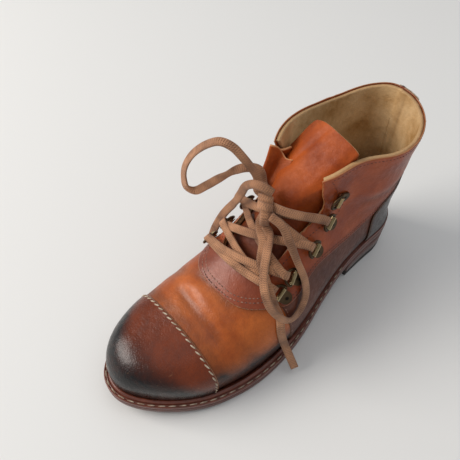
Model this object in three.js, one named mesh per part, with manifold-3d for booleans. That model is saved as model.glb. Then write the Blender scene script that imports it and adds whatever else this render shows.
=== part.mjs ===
// Trekking boot for the left foot: cap-toe, lace-up, standing empty on its sole.
// Millimetres. The toe points to -Y, the wearer's outer side is +X and up is +Z.
import * as THREE from "three";
import Module from "manifold-3d";
import { ParametricGeometry } from "three/addons/geometries/ParametricGeometry.js";
import { mergeVertices } from "three/addons/utils/BufferGeometryUtils.js";

const wasm = await Module();
wasm.setup();

// Driving sizes
const length = 282;
const ballWidth = 104;
const instepHeight = 79;
const collarHeight = 140;
const heelHeight = 22;
const toeSpring = 10;
const outsoleThickness = 5.5;
const weltThickness = 3.2;
const weltLedge = 7.5;
const beadHeight = 2.4;
const liftThickness = 6;
const insoleThickness = 3.5;
const upperWall = 2.2;
const lowerStep = 0.8;
const quarterStep = 1.8;
const overlayThickness = 1.0;
const tongueThickness = 2.6;
const clearance = 0.3;
const heelBackY = 32;
const heelLengthShare = 0.265;
const heelTuck = 6;

// A table has named columns; each column runs as a smooth curve through its rows.
function rowsOf(names, rows) {
  return rows.map((row) => Object.fromEntries(names.map((name, index) => [name, row[index]])));
}

function smooth(rows, column, place) {
  const last = rows.length - 1;
  const index = Math.min(Math.max(Math.floor(place), 0), last - 1);
  const share = place - index;
  const here = rows[index][column];
  const next = rows[index + 1][column];
  const before = index > 0 ? rows[index - 1][column] : 2 * here - next;
  const after = index + 1 < last ? rows[index + 2][column] : 2 * next - here;
  const slopeHere = (next - before) / 2;
  const slopeNext = (after - here) / 2;
  const square = share * share;
  const cube = square * share;
  return (
    here * (2 * cube - 3 * square + 1) +
    slopeHere * (cube - 2 * square + share) +
    next * (3 * square - 2 * cube) +
    slopeNext * (cube - square)
  );
}

function placeOf(rows, at) {
  let index = 0;
  while (index < rows.length - 2 && at > rows[index + 1].at) {
    index += 1;
  }
  return index + (at - rows[index].at) / (rows[index + 1].at - rows[index].at);
}

const profile = (rows, column, at) => smooth(rows, column, placeOf(rows, at));

// Sole outline: shares of the length, and edges as shares of the ball width
const outlineRows = [
  { at: 0.0, inner: -0.28, outer: 0.265, ledge: 0.42 },
  { at: 0.1, inner: -0.29, outer: 0.275, ledge: 0.42 },
  { at: 0.2, inner: -0.29, outer: 0.285, ledge: 0.42 },
  { at: 0.3, inner: -0.275, outer: 0.315, ledge: 0.5 },
  { at: 0.4, inner: -0.275, outer: 0.375, ledge: 0.6 },
  { at: 0.5, inner: -0.32, outer: 0.45, ledge: 0.75 },
  { at: 0.6, inner: -0.405, outer: 0.5, ledge: 0.9 },
  { at: 0.7, inner: -0.475, outer: 0.505, ledge: 1.0 },
  { at: 0.8, inner: -0.48, outer: 0.45, ledge: 1.0 },
  { at: 0.9, inner: -0.445, outer: 0.365, ledge: 1.0 },
  { at: 1.0, inner: -0.4, outer: 0.27, ledge: 1.0 },
];
const heelRound = 0.125;
const toeRound = 0.215;
const roundPower = 2.15;

// Underside of the outsole: shares of the length, the heel height and the toe spring
const sideRows = [
  { at: 0.0, heel: 1.0, spring: 0 },
  { at: 0.1, heel: 0.985, spring: 0 },
  { at: 0.2, heel: 0.96, spring: 0 },
  { at: 0.3, heel: 0.83, spring: 0 },
  { at: 0.4, heel: 0.47, spring: 0 },
  { at: 0.5, heel: 0.12, spring: 0 },
  { at: 0.58, heel: 0, spring: 0 },
  { at: 0.66, heel: 0, spring: 0 },
  { at: 0.74, heel: 0, spring: 0 },
  { at: 0.82, heel: 0, spring: 0.18 },
  { at: 0.91, heel: 0, spring: 0.53 },
  { at: 1.0, heel: 0, spring: 1.0 },
];

const roundEnd = (distance, radius) =>
  distance >= radius
    ? 1
    : Math.pow(1 - Math.pow(1 - Math.max(distance, 0) / radius, roundPower), 1 / roundPower);

// The inset runs from 0 at the outsole's edge to 1 at the foot of the upper, plus a margin.
function insetAt(forward, share, margin) {
  return share * weltLedge * profile(outlineRows, "ledge", forward / length) + margin;
}

function edges(forward, share, margin = 0) {
  const inner = ballWidth * profile(outlineRows, "inner", forward / length);
  const outer = ballWidth * profile(outlineRows, "outer", forward / length);
  const start = heelTuck + insetAt(0, share, margin);
  const end = length - insetAt(length, share, margin);
  const heelPart = roundEnd(forward - start, heelRound * length - start + heelTuck);
  const toePart = roundEnd(end - forward, toeRound * length - (length - end));
  const middle = (inner + outer) / 2;
  const half = ((outer - inner) / 2 - insetAt(forward, share, margin)) * heelPart * toePart;
  return { inner: middle - half, outer: middle + half };
}

// One turn around the outline: the outer side from heel to toe, then the inner side back.
function around(turn, share, margin = 0) {
  const start = heelTuck + insetAt(0, share, margin);
  const end = length - insetAt(length, share, margin);
  const forward = start + ((end - start) * (1 - Math.cos(2 * Math.PI * turn))) / 2;
  const edge = edges(forward, share, margin);
  return { forward, x: turn <= 0.5 ? edge.outer : edge.inner };
}

function underside(forward) {
  const at = Math.min(Math.max(forward / length, 0), 1);
  return heelHeight * profile(sideRows, "heel", at) + toeSpring * profile(sideRows, "spring", at);
}

const outsoleTop = (forward) => Math.max(underside(forward), 0) + outsoleThickness;
const feather = (forward) => outsoleTop(forward) + weltThickness + 3 * clearance;
const seatHeight = feather(0);

// Sections of the last from the toe tip to above the collar, each between a top point on the
// ridge line and an end point on the feather line or the back. Along: shares of the upper's
// length. Top: 0 to 1 up to the instep height, 1 to 2 from there to the collar height. End: 0
// on the feather line, else the share from the heel seat to the collar. Inner, outer and
// ridge: shares of the ball width. Widest: share of the way down.
const sections = rowsOf(
  ["top", "rise", "end", "lift", "inner", "outer", "ridge", "widest", "crown", "pinch", "side"],
  [
    [1, 0.56, 1, 0, -0.375, 0.225, -0.07, 0.5, 2.2, 0, 2.2],
    [0.996, 0.56, 0.996, 0, -0.38, 0.23, -0.07, 0.5, 2.2, 0, 2.2],
    [0.983, 0.57, 0.983, 0, -0.385, 0.24, -0.068, 0.52, 2.2, 0, 2.2],
    [0.96, 0.58, 0.96, 0, -0.395, 0.265, -0.065, 0.54, 2.2, 0, 2.2],
    [0.92, 0.59, 0.92, 0, -0.41, 0.315, -0.06, 0.56, 2.2, 0, 2.2],
    [0.865, 0.615, 0.865, 0, -0.425, 0.37, -0.05, 0.58, 2.15, 0, 2.2],
    [0.8, 0.66, 0.8, 0, -0.435, 0.415, -0.04, 0.6, 2.1, 0, 2.2],
    [0.73, 0.745, 0.73, 0, -0.44, 0.45, -0.025, 0.62, 2.05, 0, 2.2],
    [0.66, 0.87, 0.66, 0, -0.425, 0.465, -0.015, 0.64, 2, 0, 2.2],
    [0.6, 1, 0.59, 0, -0.395, 0.46, -0.01, 0.65, 2.05, 0, 2.2],
    [0.572, 1.12, 0.48, 0, -0.35, 0.42, -0.01, 0.64, 2.15, 0, 2.2],
    [0.547, 1.25, 0.36, 0, -0.315, 0.355, -0.015, 0.62, 2.25, 0, 2.2],
    [0.525, 1.37, 0.24, 0, -0.29, 0.315, -0.02, 0.6, 2.35, 0, 2.2],
    [0.506, 1.48, 0.14, 0, -0.275, 0.28, -0.025, 0.58, 2.45, 0.02, 2.2],
    [0.49, 1.58, 0.068, 0, -0.265, 0.265, -0.035, 0.57, 2.5, 0.05, 2.3],
    [0.477, 1.67, 0.0335, 0, -0.265, 0.262, -0.04, 0.56, 2.55, 0.08, 2.3],
    [0.467, 1.75, 0.033, 0.14, -0.27, 0.268, -0.045, 0.56, 2.6, 0.11, 2.3],
    [0.459, 1.83, 0.032, 0.32, -0.285, 0.29, -0.05, 0.56, 2.65, 0.14, 2.3],
    [0.453, 1.92, 0.029, 0.53, -0.3, 0.305, -0.055, 0.57, 2.7, 0.16, 2.3],
    [0.449, 2.01, 0.026, 0.75, -0.325, 0.33, -0.06, 0.58, 2.75, 0.18, 2.2],
    [0.447, 2.11, 0.022, 0.95, -0.34, 0.35, -0.06, 0.58, 2.75, 0.18, 2.2],
    [0.446, 2.22, 0.015, 1.12, -0.35, 0.36, -0.06, 0.58, 2.75, 0.18, 2.2],
    [0.446, 2.5, 0.01, 1.4, -0.35, 0.36, -0.06, 0.58, 2.75, 0.18, 2.2],
  ],
);
const lastSection = sections.length - 1;
const tipShare = 0.8;
const tipForward = length - insetAt(length, tipShare, 0);
const tipHeight = 22;
const toeCrown = 0.085;

const heightOf = (rise) =>
  rise <= 1 ? rise * instepHeight : instepHeight + (rise - 1) * (collarHeight - instepHeight);

function sectionAt(place) {
  const row = (column) => smooth(sections, column, place);
  const topForward = row("top") * tipForward;
  const endForward = row("end") * tipForward;
  const gone = tipForward - endForward;
  const sideRound = roundEnd(gone, toeRound * length - (length - tipForward));
  const crownRound = roundEnd(gone, toeCrown * length);
  const middle = ((row("inner") + row("outer")) / 2) * ballWidth;
  const half = ((row("outer") - row("inner")) / 2) * ballWidth * sideRound;
  const ridge = row("ridge") * ballWidth;
  const featherEnd = length - insetAt(length, 1, 0);
  const lift = Math.max(row("lift"), 0);
  const open = lift < 0.01 && endForward < featherEnd;
  const topHeight = tipHeight + (heightOf(row("rise")) - tipHeight) * crownRound;
  let endHeight = feather(endForward);
  if (lift >= 0.01) {
    endHeight = seatHeight + lift * (collarHeight - seatHeight);
  }
  if (endForward >= featherEnd) {
    const part = roundEnd(gone, tipForward - featherEnd);
    endHeight = tipHeight + (feather(featherEnd) - tipHeight) * part;
  }
  const foot = open ? edges(endForward, 1) : { inner: ridge, outer: ridge };
  return {
    top: { forward: topForward, height: topHeight },
    end: { forward: endForward, height: endHeight },
    ridge,
    inner: Math.max(ridge - (middle - half), 0),
    outer: Math.max(middle + half - ridge, 0),
    footInner: Math.max(ridge - foot.inner, 0),
    footOuter: Math.max(foot.outer - ridge, 0),
    widest: row("widest"),
    crown: row("crown"),
    pinch: row("pinch"),
    side: row("side"),
  };
}

// A point of the last: side runs from -1 at the inner feather line over 0 on the ridge to 1.
function lastPoint(place, side) {
  const section = sectionAt(place);
  const width = side < 0 ? section.inner : section.outer;
  const foot = Math.min(side < 0 ? section.footInner : section.footOuter, 0.995 * width);
  const quarter = Math.abs(side) * 2;
  let out = 0;
  let down = 0;
  if (quarter <= 1) {
    const angle = (quarter * Math.PI) / 2;
    out = width * Math.pow(Math.sin(angle), 2 / section.crown);
    const fall = 1 - Math.pow(Math.cos(angle), 2 / section.crown);
    down = section.widest * fall;
    if (side > 0) {
      out *= 1 - section.pinch * Math.pow(Math.sin(Math.PI * fall), 2);
    }
  } else {
    const stop = width > 0 ? Math.acos(Math.pow(foot / width, section.side / 2)) : Math.PI / 2;
    const angle = (quarter - 1) * stop;
    out = width * Math.pow(Math.max(Math.cos(angle), 0), 2 / section.side);
    const reach = Math.pow(Math.sin(stop), 2 / section.side);
    down = section.widest + (1 - section.widest) * (Math.pow(Math.sin(angle), 2 / section.side) / reach);
  }
  const forward = section.top.forward + (section.end.forward - section.top.forward) * down;
  const height = section.top.height + (section.end.height - section.top.height) * down;
  return new THREE.Vector3(section.ridge + Math.sign(side) * out, heelBackY - forward, height);
}

function lastNormal(place, side) {
  const step = 0.02;
  const low = Math.max(place - step, 0.02);
  const high = Math.min(place + step, lastSection);
  const left = Math.max(side - step, -1);
  const right = Math.min(side + step, 1);
  const along = lastPoint(high, side).sub(lastPoint(low, side));
  const across = lastPoint(place, right).sub(lastPoint(place, left));
  const normal = across.cross(along).normalize();
  if (Math.abs(side) > 0.999 && sectionAt(place).footOuter === 0) {
    normal.x = 0;
    normal.normalize();
  }
  return normal;
}

// Closed form of the last, grown outwards by a distance; drop pushes its foot line down.
const ringsAlong = 28;
const ringsOnFoot = 19;
const heelSection = 15;
const pointsAround = 20;

// Rings stand evenly along the foot and evenly up the shaft; one stands where the heel closes.
function ringPlace(ring) {
  if (ring <= ringsOnFoot) {
    return (ring * heelSection) / ringsOnFoot;
  }
  return heelSection + ((ring - ringsOnFoot) * (lastSection - heelSection)) / (ringsAlong - ringsOnFoot);
}

function lastForm(grow, drop) {
  const write = (turn, run, target) => {
    const step = Math.round(turn * (pointsAround + 1));
    const side = step > pointsAround ? -1 : (2 * step) / pointsAround - 1;
    const ring = Math.round(run * (ringsAlong + 1));
    if (ring > ringsAlong) {
      const centre = lastPoint(lastSection, 0).lerp(lastPoint(lastSection, 1), 0.5);
      target.copy(centre);
      return;
    }
    const place = ringPlace(ring);
    if (ring === 0) {
      target.copy(lastPoint(0, 0));
      target.y -= grow;
      return;
    }
    target.copy(lastPoint(place, side)).addScaledVector(lastNormal(place, side), grow);
    const section = sectionAt(place);
    if (Math.abs(side) === 1 && section.footOuter > 0) {
      target.z -= drop;
    }
  };
  return new ParametricGeometry(write, pointsAround + 1, ringsAlong + 1);
}

// Manifold solids and meshes
function toSolid(geometry) {
  const plain = geometry.clone();
  plain.deleteAttribute("normal");
  plain.deleteAttribute("uv");
  const merged = mergeVertices(plain, 1e-4);
  const kept = [];
  for (let face = 0; face < merged.index.count; face += 3) {
    const corner = [0, 1, 2].map((step) => merged.index.getX(face + step));
    if (new Set(corner).size === 3) {
      kept.push(...corner);
    }
  }
  const vertProperties = Float32Array.from(merged.attributes.position.array);
  const mesh = new wasm.Mesh({ numProp: 3, vertProperties, triVerts: Uint32Array.from(kept) });
  const solid = new wasm.Manifold(mesh);
  return solid.volume() < 0 ? flip(merged, kept) : solid;
}

function flip(merged, kept) {
  const triVerts = Uint32Array.from(kept).reverse();
  const vertProperties = Float32Array.from(merged.attributes.position.array);
  return new wasm.Manifold(new wasm.Mesh({ numProp: 3, vertProperties, triVerts }));
}

function toGeometry(solid) {
  const mesh = solid.simplify(fineness).getMesh();
  const points = new Float32Array(mesh.numVert * 3);
  for (let vertex = 0; vertex < mesh.numVert; vertex += 1) {
    for (let axis = 0; axis < 3; axis += 1) {
      points[vertex * 3 + axis] = mesh.vertProperties[vertex * mesh.numProp + axis];
    }
  }
  const geometry = new THREE.BufferGeometry();
  geometry.setAttribute("position", new THREE.BufferAttribute(points, 3));
  geometry.setIndex(new THREE.BufferAttribute(Uint32Array.from(mesh.triVerts), 1));
  geometry.computeVertexNormals();
  return geometry;
}

const fineness = 0.02;
const group = new THREE.Group();

function addPiece(name, solid, colour, roughness, metalness = 0) {
  const material = new THREE.MeshStandardMaterial({ color: colour, roughness, metalness });
  const mesh = new THREE.Mesh(toGeometry(solid), material);
  mesh.name = name;
  group.add(mesh);
}

// A band that runs round the outline; its section is a closed row of inset and height.
const outlineSteps = 52;

function outlineBand(section) {
  const write = (across, turn, target) => {
    const corner = section[Math.round(across * section.length) % section.length];
    const spot = around(Math.round(turn * outlineSteps) / outlineSteps, corner.inset, corner.margin ?? 0);
    target.set(spot.x, heelBackY - spot.forward, corner.height(spot.forward));
  };
  return toSolid(new ParametricGeometry(write, section.length, outlineSteps));
}

// A plate across the outline between two heights, from a start to an end share of the length.
const plateSteps = 26;

function outlinePlate(corners, start, end) {
  const across = corners.length * 2;
  const write = (turn, run, target) => {
    const index = Math.round(turn * across) % across;
    const outer = index < corners.length;
    const corner = outer ? corners[index] : corners[across - 1 - index];
    const from = Math.max(start, heelTuck + insetAt(0, corner.inset, corner.margin ?? 0));
    const to = Math.min(end, length - insetAt(length, corner.inset, corner.margin ?? 0));
    const step = Math.round(run * (plateSteps + 2)) - 1;
    const clamped = Math.min(Math.max(step, 0), plateSteps);
    const forward = from + ((to - from) * (1 - Math.cos((Math.PI * clamped) / plateSteps))) / 2;
    const edge = edges(forward, corner.inset, corner.margin ?? 0);
    target.set(outer ? edge.outer : edge.inner, heelBackY - forward, corner.height(forward));
    if ((step < 0 || step > plateSteps) && edge.outer - edge.inner > 0.01) {
      const middle = (edge.outer + edge.inner) / 2;
      target.x = middle;
      target.z = (corners[0].height(forward) + corners[corners.length - 1].height(forward)) / 2;
    }
  };
  return toSolid(new ParametricGeometry(write, across, plateSteps + 2));
}

// Sole
const soleGap = (forward) => outsoleTop(forward) + clearance;
const soleFloor = (forward) => Math.max(underside(forward), 0);
const outsole = outlinePlate(
  [
    { inset: 0.12, height: soleFloor },
    { inset: 0, height: (forward) => soleFloor(forward) + 0.2 * outsoleThickness },
    { inset: 0, height: (forward) => soleFloor(forward) + 0.8 * outsoleThickness },
    { inset: 0.08, height: outsoleTop },
  ],
  0,
  length,
);
addPiece("outsole", outsole, 0x5a2c20, 0.55);

const heelForward = heelLengthShare * length;
const heelTop = (forward) => soleFloor(forward) - clearance;
const heelBlock = outlinePlate(
  [
    { inset: 0.35, height: () => liftThickness + clearance },
    { inset: 0.1, height: heelTop },
  ],
  0,
  heelForward,
);
addPiece("heel", heelBlock, 0x4a241a, 0.5);

const topLift = outlinePlate(
  [
    { inset: 0.45, height: () => 0 },
    { inset: 0.35, height: () => liftThickness },
  ],
  0,
  heelForward,
);
addPiece("top_lift", topLift, 0x1d1815, 0.8);

const weltTop = (forward) => soleGap(forward) + weltThickness;
const weltEdge = upperWall + 1;
const beadStart = 0.53;
const beadFull = 0.57;

function beadAt(share) {
  return (forward) => {
    const part = (forward / length - beadStart) / (beadFull - beadStart);
    return weltTop(forward) + share * beadHeight * Math.min(Math.max(part, 0), 1);
  };
}

const welt = outlineBand([
  { inset: 0.05, height: soleGap },
  { inset: 0.05, height: weltTop },
  { inset: 0.38, height: weltTop },
  { inset: 0.43, height: beadAt(0.75) },
  { inset: 0.52, height: beadAt(1) },
  { inset: 0.61, height: beadAt(0.75) },
  { inset: 0.66, height: weltTop },
  { inset: 1.0, margin: weltEdge, height: weltTop },
  { inset: 1.0, margin: weltEdge, height: soleGap },
]);
addPiece("welt", welt, 0x6e3a28, 0.5);

const insoleEdge = weltEdge + 2 * clearance;
const insole = outlinePlate(
  [
    { inset: 1, margin: insoleEdge, height: soleGap },
    { inset: 1, margin: insoleEdge, height: (forward) => soleGap(forward) + insoleThickness },
  ],
  0,
  length,
);
addPiece("insole", insole, 0x8a7258, 0.8);

// Cutters: a shape in the side view, seen with the toe to the right, pushed across the boot
const sideReach = 90;

function sidePrism(points) {
  const shape = new THREE.Shape(points.map((point) => new THREE.Vector2(point.forward, point.height)));
  const geometry = new THREE.ExtrudeGeometry(shape, { depth: 2 * sideReach, bevelEnabled: false });
  geometry.translate(0, 0, -sideReach);
  const turn = new THREE.Matrix4().makeBasis(
    new THREE.Vector3(0, -1, 0),
    new THREE.Vector3(0, 0, 1),
    new THREE.Vector3(-1, 0, 0),
  );
  geometry.applyMatrix4(turn);
  geometry.translate(0, heelBackY, 0);
  return toSolid(geometry);
}

// Collar line in the side view: shares of the upper's length and of the collar height
const collarRows = [
  { forward: 0.56, height: 0.87 },
  { forward: 0.445, height: 0.92 },
  { forward: 0.41, height: 0.975 },
  { forward: 0.36, height: 1.0 },
  { forward: 0.29, height: 0.995 },
  { forward: 0.2, height: 0.965 },
  { forward: 0.13, height: 0.95 },
  { forward: 0.05, height: 0.97 },
  { forward: 0.0, height: 1.0 },
  { forward: -0.1, height: 1.03 },
];
const aboveAll = 2;

function spread(rows, steps) {
  const points = [];
  for (let step = 0; step <= steps; step += 1) {
    const place = (step / steps) * (rows.length - 1);
    points.push({
      forward: tipForward * smooth(rows, "forward", place),
      height: smooth(rows, "height", place),
    });
  }
  return points;
}

const collarLine = spread(collarRows, 24).map((point) => ({
  forward: point.forward,
  height: point.height * collarHeight,
}));
const collarCutter = sidePrism([
  ...collarLine,
  { forward: collarLine[collarLine.length - 1].forward, height: aboveAll * collarHeight },
  { forward: collarLine[0].forward, height: aboveAll * collarHeight },
]);

// The throat is a slot seen square to the line of the instep.
const throatForward = 0.622 * tipForward;
const throatTopForward = 0.446 * tipForward;
const throatFoot = new THREE.Vector3(0, heelBackY - throatForward, 0.93 * instepHeight);
const throatHead = new THREE.Vector3(0, heelBackY - throatTopForward, collarHeight);
const throatLine = throatHead.clone().sub(throatFoot);
const throatLength = throatLine.length();
const throatUp = throatLine.clone().normalize();
const throatOut = new THREE.Vector3(1, 0, 0).cross(throatUp);
const throatFootHalf = 0.2115 * ballWidth;
const throatHeadOuter = 0.183 * ballWidth;
const throatHeadInner = 0.26 * ballWidth;
const throatRound = 0.135 * ballWidth;
const throatDepth = 0.43 * ballWidth;
const facingWidth = 0.183 * ballWidth;

// The slot goes on past the collar by this share of its length; its corners open out less than it.
const throatRun = 1.6;
const cornerShare = 0.6;

function throatPrism(margin) {
  const shape = new THREE.Shape();
  const round = throatRound + margin * cornerShare;
  const half = throatFootHalf + margin;
  const outerHead = half + throatRun * (throatHeadOuter - throatFootHalf);
  const innerHead = half + throatRun * (throatHeadInner - throatFootHalf);
  shape.moveTo(half - round, -margin);
  shape.absellipse(half - round, round - margin, round, round, -Math.PI / 2, 0, false, 0);
  shape.lineTo(outerHead, throatRun * throatLength);
  shape.lineTo(-innerHead, throatRun * throatLength);
  shape.lineTo(-half, round - margin);
  shape.absellipse(round - half, round - margin, round, round, Math.PI, 1.5 * Math.PI, false, 0);
  const geometry = new THREE.ExtrudeGeometry(shape, {
    depth: 3 * throatDepth,
    bevelEnabled: false,
    curveSegments: 8,
  });
  geometry.translate(0, 0, -throatDepth);
  const turn = new THREE.Matrix4().makeBasis(new THREE.Vector3(1, 0, 0), throatUp, throatOut);
  turn.setPosition(throatFoot);
  geometry.applyMatrix4(turn);
  return toSolid(geometry);
}

// Seams in the side view: shares of the upper's length and of the collar height
const sideSeamRows = [
  { forward: 0.64, height: 0.62 },
  { forward: 0.598, height: 0.455 },
  { forward: 0.585, height: 0.3 },
  { forward: 0.568, height: 0.1 },
  { forward: 0.56, height: -0.1 },
];
const quarterRows = [
  { forward: 0.64, height: 0.62 },
  { forward: 0.605, height: 0.45 },
  { forward: 0.56, height: 0.425 },
  { forward: 0.5, height: 0.46 },
  { forward: 0.445, height: 0.49 },
  { forward: 0.38, height: 0.48 },
  { forward: 0.306, height: 0.455 },
  { forward: 0.24, height: 0.455 },
  { forward: 0.188, height: 0.48 },
  { forward: 0.12, height: 0.58 },
  { forward: 0.06, height: 0.68 },
  { forward: 0.0, height: 0.73 },
  { forward: -0.2, height: 0.75 },
];
const counterRows = [
  { forward: 0.19, height: -0.2 },
  { forward: 0.195, height: 0.1 },
  { forward: 0.205, height: 0.3 },
  { forward: 0.2, height: 0.43 },
  { forward: 0.182, height: 0.475 },
  { forward: 0.12, height: 0.57 },
  { forward: 0.06, height: 0.67 },
  { forward: 0.0, height: 0.72 },
  { forward: -0.2, height: 0.74 },
];
const capSeam = 0.81;
const stripHalf = 9;
const stripReach = 0.2;
const stripFoot = 0.74;

const toHeights = (points) =>
  points.map((point) => ({ forward: point.forward, height: point.height * collarHeight }));
const sideSeam = toHeights(spread(sideSeamRows, 10));
const quarterLine = toHeights(spread(quarterRows, 20));
const counterLine = toHeights(spread(counterRows, 18));
const farBack = -0.2 * tipForward;
const farAhead = 1.3 * tipForward;
const low = -0.2 * collarHeight;
const high = aboveAll * collarHeight;
const lowerRegion = sidePrism([
  ...sideSeam,
  { forward: farBack, height: low },
  { forward: farBack, height: high },
  { forward: sideSeam[0].forward, height: high },
]);
const quarterRegion = sidePrism([
  ...quarterLine,
  { forward: farBack, height: high },
  { forward: quarterLine[0].forward, height: high },
]).intersect(lowerRegion);
const counterRegion = sidePrism([...counterLine, { forward: farBack, height: low }]);
const capRegion = sidePrism([
  { forward: capSeam * tipForward, height: low },
  { forward: farAhead, height: low },
  { forward: farAhead, height: high },
  { forward: capSeam * tipForward, height: high },
]);
const stripRegion = new THREE.BoxGeometry(2 * stripHalf, 2 * stripReach * tipForward, high);
stripRegion.translate(0, heelBackY, 0.6 * high);

// Forms of the last reach below the welt's top and are cut off just above it.
const formDrop = 3;
const layer = (grow) => toSolid(lastForm(grow, formDrop));
const belowWelt = outlinePlate(
  [
    { inset: -0.6, height: () => -heelHeight },
    { inset: -0.6, height: (forward) => weltTop(forward) + 2 * clearance },
  ],
  -length,
  2 * length,
);

// Upper: vamp and quarters in one wall, the quarters a step higher
const cavity = layer(-upperWall);
const throat = throatPrism(0);
const closedUpper = layer(0)
  .add(layer(lowerStep).intersect(lowerRegion))
  .add(layer(quarterStep).intersect(quarterRegion));
const upper = closedUpper.subtract(cavity).subtract(collarCutter).subtract(throat);
addPiece("upper", upper.subtract(belowWelt), 0x9a5228, 0.45);

function overlay(base, region) {
  const inner = base + clearance;
  const skin = layer(inner + overlayThickness).subtract(layer(inner));
  return skin.intersect(region).subtract(belowWelt);
}

addPiece("toe_cap", overlay(0, capRegion), 0x5e2a18, 0.35);
const behindFacing = sidePrism([
  ...sideSeam.map((point) => ({ forward: point.forward + clearance, height: point.height })),
  { forward: farBack, height: low },
  { forward: farBack, height: high },
  { forward: sideSeam[0].forward + clearance, height: high },
]);
const facing = overlay(0, throatPrism(facingWidth)).subtract(throat).subtract(behindFacing);
addPiece("facing", facing, 0x7a3a28, 0.45);

const counter = overlay(lowerStep + clearance, counterRegion)
  .subtract(layer(clearance))
  .subtract(closedUpper);
addPiece("counter", counter, 0x4a2c28, 0.4);
const backStrip = overlay(quarterStep, toSolid(stripRegion)).subtract(collarCutter);
const belowStrip = sidePrism([
  { forward: stripReach * tipForward, height: low },
  { forward: stripReach * tipForward, height: stripFoot * collarHeight },
  { forward: farBack, height: stripFoot * collarHeight },
  { forward: farBack, height: low },
]);
addPiece("back_strip", backStrip.subtract(belowStrip), 0x3c2a2a, 0.4);

// Tongue: it lies under the facing and the throat along the last, by the section it lies at and
// its spread to the sides, then leans back free into the collar. Free share 0 follows the last;
// forward and height are shares of the upper's length and the collar height; half width, fall
// of the edges and shift are shares of the ball width.
const tongueRows = rowsOf(
  ["place", "spread", "free", "forward", "height", "half", "fall", "shift"],
  [
    [7.7, 0.2, 0, 0.69, 0.42, 0.3, 0.2, 0],
    [8.4, 0.27, 0, 0.64, 0.5, 0.3, 0.2, 0],
    [9.4, 0.31, 0, 0.59, 0.6, 0.3, 0.2, 0],
    [10.8, 0.32, 0, 0.54, 0.68, 0.33, 0.25, 0],
    [12.4, 0.33, 0, 0.49, 0.76, 0.33, 0.25, -0.01],
    [14, 0.33, 0.45, 0.46, 0.83, 0.31, 0.22, -0.01],
    [16, 0.33, 1, 0.415, 0.9, 0.29, 0.15, 0.01],
    [18, 0.33, 1, 0.37, 0.98, 0.265, 0.1, 0.04],
    [20, 0.33, 1, 0.33, 1.05, 0.24, 0.07, 0.06],
    [20, 0.33, 1, 0.315, 1.08, 0.18, 0.05, 0.06],
  ],
);
const tongueSteps = 18;
const tongueAcross = 10;
const tongueSides = 2 * (tongueAcross + 1);
const tongueSlant = 0.06;
const tongueStep = 0.05;

function tonguePoint(run, across, depth) {
  const last = tongueRows.length - 1;
  const place = run * last * (1 - tongueSlant * run * run * (1 + across));
  const row = (column, at = place) => smooth(tongueRows, column, at);
  const ahead = Math.min(place + tongueStep, last);
  const behind = Math.max(place - tongueStep, 0);
  const rise = collarHeight * (row("height", ahead) - row("height", behind));
  const back = tipForward * (row("forward", ahead) - row("forward", behind));
  const span = Math.hypot(rise, back);
  const fall = ballWidth * row("fall") * across * across + depth;
  const free = new THREE.Vector3(
    ballWidth * (row("half") * across + row("shift")),
    heelBackY - tipForward * row("forward") + (rise / span) * fall,
    collarHeight * row("height") + (back / span) * fall,
  );
  const side = row("spread") * across;
  const under = lastPoint(row("place"), side);
  under.addScaledVector(lastNormal(row("place"), side), -upperWall - 3 * clearance - depth);
  return under.lerp(free, Math.min(Math.max(row("free"), 0), 1));
}

const tongueLoft = toSolid(
  new ParametricGeometry((turn, run, target) => {
    const corner = Math.round(turn * tongueSides) % tongueSides;
    const front = corner <= tongueAcross;
    const step = front ? corner : tongueSides - 1 - corner;
    const ring = Math.round(run * (tongueSteps + 2)) - 1;
    const along = Math.min(Math.max(ring, 0), tongueSteps) / tongueSteps;
    const capped = ring < 0 || ring > tongueSteps;
    const across = capped ? 0 : (2 * step) / tongueAcross - 1;
    const depth = capped ? tongueThickness / 2 : front ? 0 : tongueThickness;
    target.copy(tonguePoint(along, across, depth));
  }, tongueSides, tongueSteps + 2),
);
const tongue = tongueLoft.intersect(layer(-upperWall - clearance));
addPiece("tongue", tongue, 0xc06030, 0.5);

// Lace rings: a wire D held by a plate that is folded round its straight side
const ringWire = 2;
const ringWidth = 14;
const ringReach = 8.5;
const plateThickness = 0.9;
const plateReach = 9.5;
const knuckle = ringWire / 2 + clearance + plateThickness;
const plateWidth = ringWidth - 2 * ringWire - 2 * clearance;

// Places of the rings on the last: section number and share of the way down to the sole
const ringRows = [
  { outerPlace: 9.3, outerSide: 0.255, innerPlace: 9.0, innerSide: 0.265 },
  { outerPlace: 10.3, outerSide: 0.27, innerPlace: 10.2, innerSide: 0.28 },
  { outerPlace: 11.9, outerSide: 0.32, innerPlace: 11.6, innerSide: 0.29 },
  { outerPlace: 13.8, outerSide: 0.33, innerPlace: 13.6, innerSide: 0.29 },
  { outerPlace: 16.6, outerSide: 0.33, innerPlace: 16.4, innerSide: 0.28 },
];
const ringTilt = 0.22;

function seat(place, side) {
  const out = lastNormal(place, side);
  const base = lastPoint(place, side).addScaledVector(out, quarterStep + 2 * clearance);
  const along = lastPoint(place + 0.3, side).sub(lastPoint(place - 0.3, side)).normalize();
  along.addScaledVector(out, -along.dot(out)).normalize();
  const away = new THREE.Vector3().crossVectors(along, out).multiplyScalar(Math.sign(side));
  if (away.x * side < 0) {
    away.negate();
  }
  return new THREE.Matrix4().makeBasis(along, away, out).setPosition(base);
}

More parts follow.
